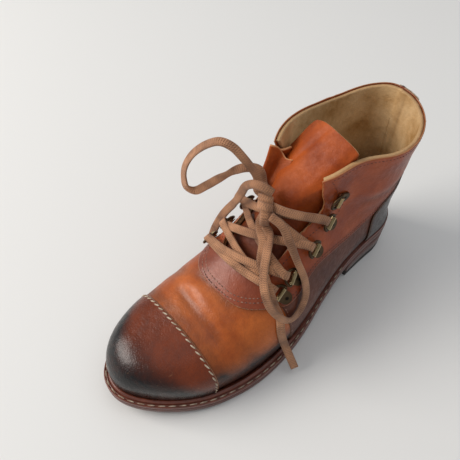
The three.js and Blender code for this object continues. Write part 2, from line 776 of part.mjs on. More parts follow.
function platePiece() {
  const profileShape = new THREE.Shape();
  const rise = plateThickness - knuckle;
  const run = Math.sqrt(knuckle * knuckle - rise * rise);
  profileShape.moveTo(0, 0);
  profileShape.lineTo(plateReach, 0);
  profileShape.lineTo(plateReach, plateThickness);
  profileShape.lineTo(run, plateThickness);
  profileShape.absarc(0, knuckle, knuckle, Math.atan2(rise, run), 1.5 * Math.PI, false);
  const bore = new THREE.Path();
  bore.absarc(0, knuckle, ringWire / 2 + clearance, 0, 2 * Math.PI, true);
  profileShape.holes.push(bore);
  const bar = new THREE.ExtrudeGeometry(profileShape, {
    depth: plateWidth,
    bevelEnabled: false,
    curveSegments: 4,
  });
  bar.translate(0, 0, -plateWidth / 2);
  bar.applyMatrix4(
    new THREE.Matrix4().makeBasis(
      new THREE.Vector3(0, 1, 0),
      new THREE.Vector3(0, 0, 1),
      new THREE.Vector3(1, 0, 0),
    ),
  );
  const outline = new THREE.Shape();
  const half = plateWidth / 2;
  const margin = 1;
  outline.moveTo(-half, -knuckle - margin);
  outline.lineTo(half, -knuckle - margin);
  outline.absarc(0, plateReach - half, half, 0, Math.PI, false);
  const depth = 2 * (knuckle + margin);
  const trim = new THREE.ExtrudeGeometry(outline, { depth, bevelEnabled: false, curveSegments: 4 });
  trim.translate(0, 0, -margin);
  return toSolid(bar).intersect(toSolid(trim));
}

const ringSteps = 12;
const ringSides = 6;

function ringPiece(tilt) {
  const half = (ringWidth - ringWire) / 2;
  const reach = ringReach - ringWire / 2;
  const spot = (step) => {
    const turn = (2 * Math.PI * step) / ringSteps;
    const bow = Math.max(Math.sin(turn), 0);
    return new THREE.Vector2(half * Math.cos(turn), -reach * Math.pow(bow, 0.8));
  };
  const write = (about, along, target) => {
    const step = Math.round(along * ringSteps) % ringSteps;
    const angle = (2 * Math.PI * (Math.round(about * ringSides) % ringSides)) / ringSides;
    const here = spot(step);
    const next = spot(step + 1).sub(spot(step - 1)).normalize();
    const out = (ringWire / 2) * Math.cos(angle);
    target.set(here.x + out * next.y, here.y - out * next.x, (ringWire / 2) * Math.sin(angle));
  };
  const geometry = new ParametricGeometry(write, ringSides, ringSteps);
  geometry.rotateX(-tilt);
  geometry.translate(0, 0, knuckle);
  return toSolid(geometry);
}

const brass = 0x4a4230;
ringRows.forEach((row, index) => {
  for (const flank of ["outer", "inner"]) {
    const side = flank === "outer" ? row.outerSide : -row.innerSide;
    const frame = seat(row[`${flank}Place`], side);
    const number = index + 1;
    addPiece(`ring_plate_${flank}_${number}`, platePiece().transform(frame.elements), brass, 0.4, 0.9);
    addPiece(`ring_${flank}_${number}`, ringPiece(ringTilt).transform(frame.elements), brass, 0.35, 0.9);
  }
});

// Lacing: flat strips from ring to ring across the tongue, crossed and joined in one piece.
// Ends name a ring and its flank, or the knot; lower strips run below upper ones where they cross.
const laceWidth = 6;
const laceThickness = 1.4;
const laceLift = 3.6;
const ringMouth = ringReach + 2 * clearance;
const stripSteps = 7;

const laceRuns = [
  { from: ["inner", 0], to: ["outer", 0], bulge: 7 },
  { from: ["inner", 0], to: ["outer", 1], bulge: 8.3 },
  { from: ["outer", 0], to: ["inner", 1], bulge: 7 },
  { from: ["inner", 1], to: ["outer", 2], bulge: 11.6 },
  { from: ["outer", 1], to: ["inner", 2], bulge: 7 },
  { from: ["outer", 2], to: ["inner", 3], bulge: 16 },
  { from: ["inner", 2], to: ["outer", 3], bulge: 15 },
  { from: ["outer", 3], to: ["outer", "knot"], bulge: 9.5 },
  { from: ["inner", 3], to: ["inner", "knot"], bulge: 6 },
];
const knotSides = {
  outer: new THREE.Vector3(2, -108, 113),
  inner: new THREE.Vector3(-12, -104, 111),
};

function mouthOf([flank, index]) {
  if (index === "knot") {
    return knotSides[flank].clone();
  }
  const row = ringRows[index];
  const side = flank === "outer" ? row.outerSide : -row.innerSide;
  return new THREE.Vector3(0, -ringMouth, laceLift).applyMatrix4(seat(row[`${flank}Place`], side));
}

function stripPiece(run) {
  const start = mouthOf(run.from);
  const end = mouthOf(run.to);
  const place = (share) => {
    const spot = start.clone().lerp(end, share);
    spot.addScaledVector(throatOut, 4 * share * (1 - share) * run.bulge);
    return spot;
  };
  const write = (about, along, target) => {
    const ring = Math.round(along * (stripSteps + 2)) - 1;
    const share = Math.min(Math.max(ring, 0), stripSteps) / stripSteps;
    const ahead = place(Math.min(share + 0.02, 1)).sub(place(Math.max(share - 0.02, 0))).normalize();
    const across = new THREE.Vector3().crossVectors(ahead, throatOut).normalize();
    const up = new THREE.Vector3().crossVectors(across, ahead);
    const corner = Math.round(about * 4) % 4;
    const capped = ring < 0 || ring > stripSteps;
    const reach = capped ? 0 : corner === 0 || corner === 3 ? -laceWidth / 2 : laceWidth / 2;
    const rise = capped ? laceThickness / 2 : corner < 2 ? 0 : laceThickness;
    target.copy(place(share)).addScaledVector(across, reach).addScaledVector(up, rise);
  };
  return toSolid(new ParametricGeometry(write, 4, stripSteps + 2));
}
const lacing = laceRuns.map(stripPiece).reduce((whole, strip) => whole.add(strip));
addPiece("lacing", lacing, 0xc0885c, 0.6);

// Bow: the knot, two loops and two loose ends of the lace, each a plain round cord
const cordRadius = 1.5;
const knotRadius = 4.2;
const cordSides = 8;

function cordPiece(points, steps, radius) {
  const path = new THREE.CatmullRomCurve3(points.map((point) => new THREE.Vector3(...point)));
  const section = new THREE.Shape();
  for (let corner = 0; corner < cordSides; corner += 1) {
    const angle = (2 * Math.PI * corner) / cordSides;
    const draw = corner === 0 ? "moveTo" : "lineTo";
    section[draw](radius * Math.cos(angle), radius * Math.sin(angle));
  }
  return toSolid(new THREE.ExtrudeGeometry(section, { steps, extrudePath: path, bevelEnabled: false }));
}

const knotPoints = [
  [-7.6, -104.9, 120.1], [-1.8, -111.7, 117.8], [3.3, -116.3, 112],
];
const innerLoopPoints = [
  [-10.2, -104.9, 119.8], [-16, -104, 131], [-22, -112, 134], [-32, -120, 125],
  [-43, -129, 112], [-49, -134, 106], [-53, -138, 109], [-55, -138, 116],
  [-54, -137, 127], [-49, -133, 140], [-41, -127, 150], [-34, -122, 154],
  [-27, -118, 152], [-21, -115, 146], [-17, -111.5, 138], [-15.4, -108.6, 131.2],
  [-9.8, -108.4, 123.1],
];
const outerLoopPoints = [
  [4, -116.5, 102.5], [9.2, -117.4, 99.4], [19.3, -129.2, 95.1], [26.3, -137.6, 89.8],
  [33.7, -143, 82.8], [40.7, -144, 73.7], [45.7, -139.1, 61.7], [48.2, -130.7, 51.9],
  [46.9, -120.5, 51.1], [44.2, -113, 61], [40.4, -112.2, 75], [32.8, -112.7, 87.6],
  [24.6, -112.6, 98.9], [15.9, -112.6, 109.4], [8, -116, 115.3],
];
const outerEndPoints = [
  [-0.1, -114.2, 108.5], [-1.2, -116.2, 102], [3, -119.7, 99.2], [10.4, -123.9, 97.4],
  [17.1, -131.5, 90.1], [25.8, -135.5, 83.5], [34.2, -139.5, 81.9], [40.4, -137.7, 63.4],
  [43.3, -136.7, 57.2], [49, -139.4, 43.5], [51.8, -136.8, 26.6], [57, -136.3, 17],
  [63, -136, 7],
];
const innerEndPoints = [
  [-0.7, -106.6, 123.2], [-4.2, -109.8, 127.4], [-11, -112.5, 127.5], [-17, -114.5, 123],
  [-23, -114.5, 110], [-28.5, -116, 97], [-34, -119, 86], [-39, -121, 74],
  [-43.5, -123, 60], [-47, -124, 46],
];
addPiece("lace_knot", cordPiece(knotPoints, 3, knotRadius), 0xc0885c, 0.6);
addPiece("lace_loop_inner", cordPiece(innerLoopPoints, 22, cordRadius), 0xc0885c, 0.6);
addPiece("lace_loop_outer", cordPiece(outerLoopPoints, 20, cordRadius), 0xc0885c, 0.6);
addPiece("lace_end_outer", cordPiece(outerEndPoints, 17, cordRadius), 0xc0885c, 0.6);
addPiece("lace_end_inner", cordPiece(innerEndPoints, 15, cordRadius), 0xc0885c, 0.6);

export default group;
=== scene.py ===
# Left trekking boot, laced and tied, standing empty on its sole.
# Everything is in metres in the CAD frame; sizes of the boot are written in millimetres.
import math

import bmesh
import bpy
import numpy as np
from mathutils import Matrix, Vector
from mathutils.bvhtree import BVHTree


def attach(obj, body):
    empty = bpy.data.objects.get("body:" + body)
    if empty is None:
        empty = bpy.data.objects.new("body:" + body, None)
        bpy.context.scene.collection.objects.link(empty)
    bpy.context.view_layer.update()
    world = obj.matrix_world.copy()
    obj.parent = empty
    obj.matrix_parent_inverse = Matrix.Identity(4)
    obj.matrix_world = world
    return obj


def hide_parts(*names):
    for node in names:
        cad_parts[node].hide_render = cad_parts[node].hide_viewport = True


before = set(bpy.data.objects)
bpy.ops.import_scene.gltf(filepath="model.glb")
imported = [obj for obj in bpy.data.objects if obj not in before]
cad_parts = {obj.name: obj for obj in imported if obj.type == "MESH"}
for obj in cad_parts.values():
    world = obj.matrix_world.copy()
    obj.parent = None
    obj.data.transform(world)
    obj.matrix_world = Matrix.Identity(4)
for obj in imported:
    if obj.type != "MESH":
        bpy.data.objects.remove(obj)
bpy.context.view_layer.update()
millimetre = 0.001

# Camera. It looks down on the toe from the wearer's outer side, at the height of someone who
# stands beside the boot.
target = Vector((-34.7, -114.9, 60)) * millimetre
azimuth, elevation, roll = (math.radians(angle) for angle in (50.6, 51.3, -1.1))
distance = 398.2 * millimetre
focal_pixels, picture_pixels, film_width = 520, 460, 36
back = Vector((math.sin(azimuth) * math.cos(elevation), -math.cos(azimuth) * math.cos(elevation),
               math.sin(elevation)))
level = Vector((math.cos(azimuth), math.sin(azimuth), 0))
upright = back.cross(level)
right = level * math.cos(roll) + upright * math.sin(roll)
above = upright * math.cos(roll) - level * math.sin(roll)
lens = bpy.data.cameras.new("camera")
lens.sensor_width = film_width
lens.lens = film_width * focal_pixels / picture_pixels
camera = bpy.data.objects.new("camera", lens)
bpy.context.collection.objects.link(camera)
pose = Matrix((right, above, back)).transposed().to_4x4()
pose.translation = target + back * distance
camera.matrix_world = pose
bpy.context.scene.camera = camera


# Parts of a material. Colours are written as codes. Each helper adds a node to the material's
# tree, and most of them return what comes out of it.
def linear(code):
    parts = [int(code[start:start + 2], 16) / 255 for start in (1, 3, 5)]
    return [part / 12.92 if part <= 0.04045 else ((part + 0.055) / 1.055) ** 2.4 for part in parts] + [1]


def add(tree, kind, inputs, **settings):
    node = tree.nodes.new(kind)
    for name, value in settings.items():
        setattr(node, name, value)
    for name, value in inputs.items():
        if isinstance(value, bpy.types.NodeSocket):
            tree.links.new(value, node.inputs[name])
        else:
            node.inputs[name].default_value = value
    return node


def new_material(name):
    material = bpy.data.materials.new(name)
    material.use_nodes = True
    material.node_tree.nodes.clear()
    return material, material.node_tree


def finish_material(tree, inputs):
    shader = add(tree, "ShaderNodeBsdfPrincipled", inputs)
    add(tree, "ShaderNodeOutputMaterial", {"Surface": shader.outputs["BSDF"]})


def place_on(tree):
    return add(tree, "ShaderNodeTexCoord", {}).outputs["Object"]


def noise(tree, place, scale, detail=2.0, roughness=0.5, distortion=0.0):
    return add(tree, "ShaderNodeTexNoise", {"Vector": place, "Scale": scale, "Detail": detail,
                                            "Roughness": roughness, "Distortion": distortion}).outputs["Fac"]


def stretched(tree, value, low, high, start=0.0, end=1.0):
    """A value spread out so that low becomes start and high becomes end."""
    return add(tree, "ShaderNodeMapRange", {"Value": value, "From Min": low, "From Max": high,
                                            "To Min": start, "To Max": end}).outputs["Result"]


def mixed(tree, amount, first, second):
    """One colour going over to another."""
    first, second = (linear(colour) if isinstance(colour, str) else colour for colour in (first, second))
    return add(tree, "ShaderNodeMix", {"Factor": amount, "A": first, "B": second},
               data_type="RGBA").outputs["Result"]


def combined(tree, operation, first, second=0.0, clamp=False):
    return add(tree, "ShaderNodeMath", {0: first, 1: second}, operation=operation,
               use_clamp=clamp).outputs[0]


def relief(tree, height, strength, depth):
    return add(tree, "ShaderNodeBump", {"Height": height, "Strength": strength,
                                        "Distance": depth}).outputs["Normal"]


# Floor and light: a pale matt floor under a large soft window from the toe's inner side, a
# weaker soft fill and an even, pale room.
floor_material, tree = new_material("matt_paper_floor")
finish_material(tree, {"Base Color": linear("#e4e4e2"), "Roughness": 0.75})
floor_mesh = bmesh.new()
bmesh.ops.create_grid(floor_mesh, x_segments=2, y_segments=2, size=3)
floor_data = bpy.data.meshes.new("floor")
floor_mesh.to_mesh(floor_data)
floor = bpy.data.objects.new("floor", floor_data)
floor_data.materials.append(floor_material)
bpy.context.collection.objects.link(floor)

world = bpy.data.worlds.new("room")
bpy.context.scene.world = world
world.use_nodes = True
world.node_tree.nodes["Background"].inputs["Color"].default_value = linear("#e6e8ec")
world.node_tree.nodes["Background"].inputs["Strength"].default_value = 0.47


def soft_light(name, place, aim, size, power, colour):
    data = bpy.data.lights.new(name, "AREA")
    data.shape = "RECTANGLE"
    data.size, data.size_y = size
    data.energy = power
    data.color = linear(colour)[:3]
    light = bpy.data.objects.new(name, data)
    light.location = place
    light.rotation_euler = (Vector(place) - Vector(aim)).to_track_quat("Z", "Y").to_euler()
    bpy.context.collection.objects.link(light)


bpy.context.scene.view_settings.view_transform = "Standard"
soft_light("window", (-1.2, -1.4, 1.3), (0, -0.1, 0.05), (1.5, 1.2), 42, "#fffaf4")
soft_light("ceiling", (0.1, 0.2, 1.5), (0, -0.1, 0), (1.4, 1.4), 4, "#ffffff")


# Shapes. Lines are smooth curves through points; a skin joins columns of corners; each piece
# is given its material.
def smooth_line(points, steps):
    points = [np.array(point, float) for point in points]
    ends = [2 * points[0] - points[1]] + points + [2 * points[-1] - points[-2]]
    result = []
    for index in range(1, len(ends) - 2):
        before, here, following, after = ends[index - 1:index + 3]
        gaps = [max(np.linalg.norm(b - a), 1e-6) ** 0.5
                for a, b in ((before, here), (here, following), (following, after))]
        start = ((here - before) / gaps[0] - (following - before) / (gaps[0] + gaps[1])
                 + (following - here) / gaps[1]) * gaps[1]
        end = ((following - here) / gaps[1] - (after - here) / (gaps[1] + gaps[2])
               + (after - following) / gaps[2]) * gaps[1]
        for step in range(steps):
            share = step / steps
            square, cube = share ** 2, share ** 3
            result.append(here * (2 * cube - 3 * square + 1) + start * (cube - 2 * square + share)
                          + following * (3 * square - 2 * cube) + end * (cube - square))
    result.append(ends[-2])
    return np.array(result)


def unit(vectors):
    return vectors / np.maximum(np.linalg.norm(vectors, axis=-1, keepdims=True), 1e-9)


def length_along(points):
    return np.concatenate([[0], np.cumsum(np.linalg.norm(np.diff(points, axis=0), axis=1))])


def rising(value, start, end):
    """From nought at start to one at end, without a corner."""
    share = np.clip((value - start) / (end - start), 0, 1)
    return share * share * (3 - 2 * share)


def corners(mesh, spots):
    return [mesh.verts.new(Vector(spot) * millimetre) for spot in spots]


def skin(mesh, columns, ring=True, closed=False):
    """Faces between neighbouring columns; a ring closes each column, closed joins the last to the first."""
    for left, right in zip(columns, columns[1:] + (columns[:1] if closed else [])):
        for index in range(len(left) if ring else len(left) - 1):
            after = (index + 1) % len(left)
            mesh.faces.new((left[index], left[after], right[after], right[index]))


def add_piece(name, mesh, material, node=None, body="boot", smooth=True):
    """Make a mesh a piece that rides on a body and, where a node is given, stands for it."""
    bmesh.ops.recalc_face_normals(mesh, faces=mesh.faces)
    data = bpy.data.meshes.new(name)
    mesh.to_mesh(data)
    mesh.free()
    data.materials.append(material)
    if smooth:
        data.shade_smooth()
    piece = bpy.data.objects.new(name, data)
    bpy.context.collection.objects.link(piece)
    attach(piece, body)
    if node:
        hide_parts(node)
    return piece


# Lace: a flat woven cotton lace, 6 mm wide, waxed and worn. The bow is tied by hand: a knot,
# two loops and two loose ends. Each part is one strip swept along its route.
lace_width, lace_thickness = 6.0, 1.3
lace_section = [(-0.5, -0.2), (-0.44, -0.5), (-0.2, -0.52), (0.2, -0.52), (0.44, -0.5), (0.5, -0.2),
                (0.5, 0.2), (0.44, 0.5), (0.2, 0.52), (-0.2, 0.52), (-0.44, 0.5), (-0.5, 0.2)]
lace_girth, weave_scale = 2.4, 0.1
herringbone, yarn_pitch, rib_pitch = 0.3, 0.15, 0.2


def woven_lace():
    """Waxed cotton braid: matt, a tight herringbone of yarns, fuzzy and dirty; painted shade darkens its
    colour between the yarns.
    """
    material, tree = new_material("woven_cotton_lace")
    uv = add(tree, "ShaderNodeUVMap", {}, uv_map="UVMap")
    parts = add(tree, "ShaderNodeSeparateXYZ", {"Vector": uv.outputs["UV"]})
    fold = combined(tree, "PINGPONG", parts.outputs["X"], herringbone)
    slant = combined(tree, "ADD", parts.outputs["Y"], fold)
    yarn = combined(tree, "SINE", combined(tree, "MULTIPLY", slant, 2 * math.pi / yarn_pitch))
    rib = combined(tree, "SINE", combined(tree, "MULTIPLY", parts.outputs["X"], 2 * math.pi / rib_pitch))
    weave = combined(tree, "MULTIPLY", yarn, rib)
    place = place_on(tree)
    dirt, fuzz = noise(tree, place, 90.0, 5.0), noise(tree, place, 2600.0)
    # The colour's darkness is real dirt times painted shade between the yarns of the weave.
    worn = combined(tree, "MULTIPLY", stretched(tree, weave, -1.0, 1.0, 0.4, 0.85), dirt)
    colour = add(tree, "ShaderNodeValToRGB", {"Fac": worn})
    for stop, position, code in zip(colour.color_ramp.elements, (0.12, 0.42), ("#5c3824", "#c68e66")):
        stop.position = position
        stop.color = linear(code)
    finish_material(tree, {
        "Base Color": colour.outputs["Color"], "Roughness": 0.68, "Sheen Weight": 0.15,
        "Sheen Roughness": 0.4, "Normal": relief(tree, combined(tree, "ADD", weave, fuzz), 0.9, 0.0003)})
    return material


lace_material = woven_lace()


def strip(name, points, facing, node=None, width=lace_width, thickness=lace_thickness):
    """Sweep the flat section along points; facing is the direction its broad side looks."""
    along = unit(np.gradient(points, axis=0))
    out = unit(facing - along * np.sum(facing * along, axis=1, keepdims=True))
    across = np.cross(along, out)
    count, around = len(points), len(lace_section)
    run = length_along(points)
    mesh = bmesh.new()
    bmesh.ops.create_grid(mesh, x_segments=around, y_segments=count - 1, size=1)
    places = {vertex: (round((vertex.co.x + 1) / 2 * around), round((vertex.co.y + 1) / 2 * (count - 1)))
              for vertex in mesh.verts}
    layer = mesh.loops.layers.uv.new("UVMap")
    for face in mesh.faces:
        for loop in face.loops:
            corner, step = places[loop.vert]
            loop[layer].uv = (corner / around * lace_girth * width * weave_scale, run[step] * weave_scale)
    for vertex, (corner, step) in places.items():
        side, rise = lace_section[corner % around]
        spot = points[step] + across[step] * side * width + out[step] * rise * thickness
        vertex.co = Vector(spot) * millimetre
    bmesh.ops.remove_doubles(mesh, verts=mesh.verts, dist=1e-6)
    bmesh.ops.holes_fill(mesh, edges=[edge for edge in mesh.edges if edge.is_boundary])
    return add_piece(name, mesh, lace_material, node)


knot_points = [
    (-7.6, -104.9, 120.1), (-1.8, -111.7, 117.8), (3.3, -116.3, 112),
]
inner_loop_points = [
    (-10.2, -104.9, 119.8), (-16, -104, 131), (-22, -112, 134), (-32, -120, 125),
    (-43, -129, 112), (-49, -134, 106), (-53, -138, 109), (-55, -138, 116), (-54, -137, 127),
    (-49, -133, 140), (-41, -127, 150), (-34, -122, 154), (-27, -118, 152), (-21, -115, 146),
    (-17, -111.5, 138), (-15.4, -108.6, 131.2), (-9.8, -108.4, 123.1),
]
outer_loop_points = [
    (4, -116.5, 102.5), (9.2, -117.4, 99.4), (19.3, -129.2, 95.1), (26.3, -137.6, 89.8),
    (33.7, -143, 82.8), (40.7, -144, 73.7), (45.7, -139.1, 61.7), (48.2, -130.7, 51.9),
    (46.9, -120.5, 51.1), (44.2, -113, 61), (40.4, -112.2, 75), (32.8, -112.7, 87.6),
    (24.6, -112.6, 98.9), (15.9, -112.6, 109.4), (8, -116, 115.3),
]
outer_end_points = [
    (-0.1, -114.2, 108.5), (-1.2, -116.2, 102), (3, -119.7, 99.2), (10.4, -123.9, 97.4),
    (17.1, -131.5, 90.1), (25.8, -135.5, 83.5), (34.2, -139.5, 81.9), (40.4, -137.7, 63.4),
    (43.3, -136.7, 57.2), (49, -139.4, 43.5), (51.8, -136.8, 26.6), (57, -136.3, 17),
    (63, -136, 7),
]
inner_end_points = [
    (-0.7, -106.6, 123.2), (-4.2, -109.8, 127.4), (-11, -112.5, 127.5), (-17, -114.5, 123),
    (-23, -114.5, 110), (-28.5, -116, 97), (-34, -119, 86), (-39, -121, 74),
    (-43.5, -123, 60), (-47, -124, 46),
]


# The last. Upper, linings and panels all lie on its surface, so its sections come first: shares
# of the length, the heights and the ball width, a row for each section from the toe to above
# the collar.
length, ball_width, instep_height, collar_height = 282.0, 104.0, 79.0, 140.0
heel_height, toe_spring, outsole_thickness = 22.0, 10.0, 5.5
welt_thickness, welt_ledge, bead_height, clearance = 3.2, 7.5, 2.4, 0.3
heel_back, heel_tuck, insole_thickness, lift_thickness = 32.0, 6.0, 3.5, 6.0
upper_wall, lower_step, quarter_step, overlay = 2.2, 0.8, 1.8, 1.0


def table(names, *rows):
    return dict(zip(names.split(), np.array(rows, float).T))


outline_rows = table(
    "at inner outer ledge",
    (0.0, -0.28, 0.265, 0.42), (0.1, -0.29, 0.275, 0.42), (0.2, -0.29, 0.285, 0.42),
    (0.3, -0.275, 0.315, 0.5), (0.4, -0.275, 0.375, 0.6), (0.5, -0.32, 0.45, 0.75),
    (0.6, -0.405, 0.5, 0.9), (0.7, -0.475, 0.505, 1.0), (0.8, -0.48, 0.45, 1.0),
    (0.9, -0.445, 0.365, 1.0), (1.0, -0.4, 0.27, 1.0))
side_rows = table(
    "at heel spring",
    (0.0, 1.0, 0), (0.1, 0.985, 0), (0.2, 0.96, 0), (0.3, 0.83, 0), (0.4, 0.47, 0),
    (0.5, 0.12, 0), (0.58, 0, 0), (0.66, 0, 0), (0.74, 0, 0), (0.82, 0, 0.18), (0.91, 0, 0.53),
    (1.0, 0, 1.0))
sections = table(
    "top rise end lift inner outer ridge widest crown pinch side",
    (1, 0.56, 1, 0, -0.375, 0.225, -0.07, 0.5, 2.2, 0, 2.2),
    (0.996, 0.56, 0.996, 0, -0.38, 0.23, -0.07, 0.5, 2.2, 0, 2.2),
    (0.983, 0.57, 0.983, 0, -0.385, 0.24, -0.068, 0.52, 2.2, 0, 2.2),
    (0.96, 0.58, 0.96, 0, -0.395, 0.265, -0.065, 0.54, 2.2, 0, 2.2),
    (0.92, 0.59, 0.92, 0, -0.41, 0.315, -0.06, 0.56, 2.2, 0, 2.2),
    (0.865, 0.615, 0.865, 0, -0.425, 0.37, -0.05, 0.58, 2.15, 0, 2.2),
    (0.8, 0.66, 0.8, 0, -0.435, 0.415, -0.04, 0.6, 2.1, 0, 2.2),
    (0.73, 0.745, 0.73, 0, -0.44, 0.45, -0.025, 0.62, 2.05, 0, 2.2),
    (0.66, 0.87, 0.66, 0, -0.425, 0.465, -0.015, 0.64, 2, 0, 2.2),
    (0.6, 1, 0.59, 0, -0.395, 0.46, -0.01, 0.65, 2.05, 0, 2.2),
    (0.572, 1.12, 0.48, 0, -0.35, 0.42, -0.01, 0.64, 2.15, 0, 2.2),
    (0.547, 1.25, 0.36, 0, -0.315, 0.355, -0.015, 0.62, 2.25, 0, 2.2),
    (0.525, 1.37, 0.24, 0, -0.29, 0.315, -0.02, 0.6, 2.35, 0, 2.2),
    (0.506, 1.48, 0.14, 0, -0.275, 0.28, -0.025, 0.58, 2.45, 0.02, 2.2),
    (0.49, 1.58, 0.068, 0, -0.265, 0.265, -0.035, 0.57, 2.5, 0.05, 2.3),
    (0.477, 1.67, 0.0335, 0, -0.265, 0.262, -0.04, 0.56, 2.55, 0.08, 2.3),
    (0.467, 1.75, 0.033, 0.14, -0.27, 0.268, -0.045, 0.56, 2.6, 0.11, 2.3),
    (0.459, 1.83, 0.032, 0.32, -0.285, 0.29, -0.05, 0.56, 2.65, 0.14, 2.3),
    (0.453, 1.92, 0.029, 0.53, -0.3, 0.305, -0.055, 0.57, 2.7, 0.16, 2.3),
    (0.449, 2.01, 0.026, 0.75, -0.325, 0.33, -0.06, 0.58, 2.75, 0.18, 2.2),
    (0.447, 2.11, 0.022, 0.95, -0.34, 0.35, -0.06, 0.58, 2.75, 0.18, 2.2),
    (0.446, 2.22, 0.015, 1.12, -0.35, 0.36, -0.06, 0.58, 2.75, 0.18, 2.2),
    (0.446, 2.5, 0.01, 1.4, -0.35, 0.36, -0.06, 0.58, 2.75, 0.18, 2.2))
heel_round, toe_round, round_power = 0.125, 0.215, 2.15
tip_share, tip_height, toe_crown = 0.8, 22.0, 0.085


def smooth(rows, column, place):
    values = rows[column]
    last = len(values) - 1
    index = np.clip(np.floor(place), 0, last - 1).astype(int)
    share = place - index
    here, following = values[index], values[index + 1]
    before = np.where(index > 0, values[np.maximum(index - 1, 0)], 2 * here - following)
    after = np.where(index + 1 < last, values[np.minimum(index + 2, last)], 2 * following - here)
    square, cube = share ** 2, share ** 3
    return (here * (2 * cube - 3 * square + 1) + (following - before) / 2 * (cube - 2 * square + share)
            + following * (3 * square - 2 * cube) + (after - here) / 2 * (cube - square))


def profile(rows, column, at):
    stops = rows["at"]
    index = np.clip(np.searchsorted(stops, at, side="left") - 1, 0, len(stops) - 2)
    return smooth(rows, column, index + (at - stops[index]) / (stops[index + 1] - stops[index]))


def round_end(distance, radius):
    share = np.clip(np.maximum(distance, 0) / radius, 0, 1)
    return np.where(distance >= radius, 1.0, (1 - (1 - share) ** round_power) ** (1 / round_power))


def inset_at(forward, share, margin=0.0):
    return share * welt_ledge * profile(outline_rows, "ledge", np.asarray(forward) / length) + margin


def outline_ends(share, margin=0.0):
    return heel_tuck + float(inset_at(0.0, share, margin)), length - float(inset_at(length, share, margin))


def edges(forward, share, margin=0.0):
    inner = ball_width * profile(outline_rows, "inner", forward / length)
    outer = ball_width * profile(outline_rows, "outer", forward / length)
    start, end = outline_ends(share, margin)
    heel_part = round_end(forward - start, heel_round * length - start + heel_tuck)
    toe_part = round_end(end - forward, toe_round * length - (length - end))
    half = ((outer - inner) / 2 - inset_at(forward, share, margin)) * heel_part * toe_part
    return (inner + outer) / 2 - half, (inner + outer) / 2 + half


def underside(forward):
    at = np.clip(forward / length, 0, 1)
    return heel_height * profile(side_rows, "heel", at) + toe_spring * profile(side_rows, "spring", at)


def sole_floor(forward):
    return np.maximum(underside(forward), 0)


def outsole_top(forward):
    return sole_floor(forward) + outsole_thickness


def sole_gap(forward):
    return outsole_top(forward) + clearance


def welt_top(forward):
    return sole_gap(forward) + welt_thickness


def feather(forward):
    return outsole_top(forward) + welt_thickness + 3 * clearance


tip_forward = length - float(inset_at(length, tip_share))
feather_end = length - float(inset_at(length, 1))
seat_height = float(feather(np.array(0.0)))


def section_at(place):
    row = {name: smooth(sections, name, place) for name in sections}
    top_forward, end_forward = row["top"] * tip_forward, row["end"] * tip_forward
    gone = tip_forward - end_forward
    side_round = round_end(gone, toe_round * length - (length - tip_forward))
    crown_round = round_end(gone, toe_crown * length)
    middle = (row["inner"] + row["outer"]) / 2 * ball_width
    half = (row["outer"] - row["inner"]) / 2 * ball_width * side_round
    ridge = row["ridge"] * ball_width
    lift = np.maximum(row["lift"], 0)
    opened = (lift < 0.01) & (end_forward < feather_end)
    rise = row["rise"]
    height = np.where(rise <= 1, rise * instep_height,
                      instep_height + (rise - 1) * (collar_height - instep_height))
    end_height = np.where(lift >= 0.01, seat_height + lift * (collar_height - seat_height),
                          feather(end_forward))
    front = round_end(gone, tip_forward - feather_end)
    end_height = np.where(end_forward >= feather_end,
                          tip_height + (float(feather(np.array(feather_end))) - tip_height) * front,
                          end_height)
    foot_inner, foot_outer = edges(end_forward, 1)
    row.update(top_forward=top_forward, end_forward=end_forward, ridge=ridge,
               top_height=tip_height + (height - tip_height) * crown_round, end_height=end_height,
               inner=np.maximum(ridge - (middle - half), 0), outer=np.maximum(middle + half - ridge, 0),
               foot_inner=np.where(opened, np.maximum(ridge - foot_inner, 0), 0),
               foot_outer=np.where(opened, np.maximum(foot_outer - ridge, 0), 0))
    return row


def last_point(place, side):
    row = section_at(place)
    width = np.where(side < 0, row["inner"], row["outer"])
    foot = np.minimum(np.where(side < 0, row["foot_inner"], row["foot_outer"]), 0.995 * width)
    quarter = np.abs(side) * 2
    angle = np.minimum(quarter, 1) * math.pi / 2
    fall = 1 - np.cos(angle) ** (2 / row["crown"])
    pinch = np.where(side > 0, 1 - row["pinch"] * np.sin(math.pi * fall) ** 2, 1)
    upper_out = width * np.sin(angle) ** (2 / row["crown"]) * pinch
    upper_down = row["widest"] * fall
    safe = np.maximum(width, 1e-9)
    stop = np.where(width > 0, np.arccos(np.clip((foot / safe) ** (row["side"] / 2), 0, 1)), math.pi / 2)
    angle = np.clip(quarter - 1, 0, 1) * stop
    lower_out = width * np.maximum(np.cos(angle), 0) ** (2 / row["side"])
    reach = np.maximum(np.sin(stop), 1e-9) ** (2 / row["side"])
    lower_down = row["widest"] + (1 - row["widest"]) * np.sin(angle) ** (2 / row["side"]) / reach
    out = np.where(quarter <= 1, upper_out, lower_out)
    down = np.where(quarter <= 1, upper_down, lower_down)
    forward = row["top_forward"] + (row["end_forward"] - row["top_forward"]) * down
    height = row["top_height"] + (row["end_height"] - row["top_height"]) * down
    return np.stack([row["ridge"] + np.sign(side) * out, heel_back - forward, height], -1)


last_section = len(sections["top"]) - 1


def last_normal(place, side):
    step = 0.02
    low, high = np.maximum(place - step, 0.02), np.minimum(place + step, last_section)
    left, right = np.maximum(side - step, -1), np.minimum(side + step, 1)
    along = last_point(high, side) - last_point(low, side)
    across = last_point(place, right) - last_point(place, left)
    normal = unit(np.cross(across, along))
    closed = (np.abs(side) > 0.999) & (section_at(place)["foot_outer"] == 0)
    normal[..., 0] = np.where(closed, 0, normal[..., 0])
    return unit(normal)


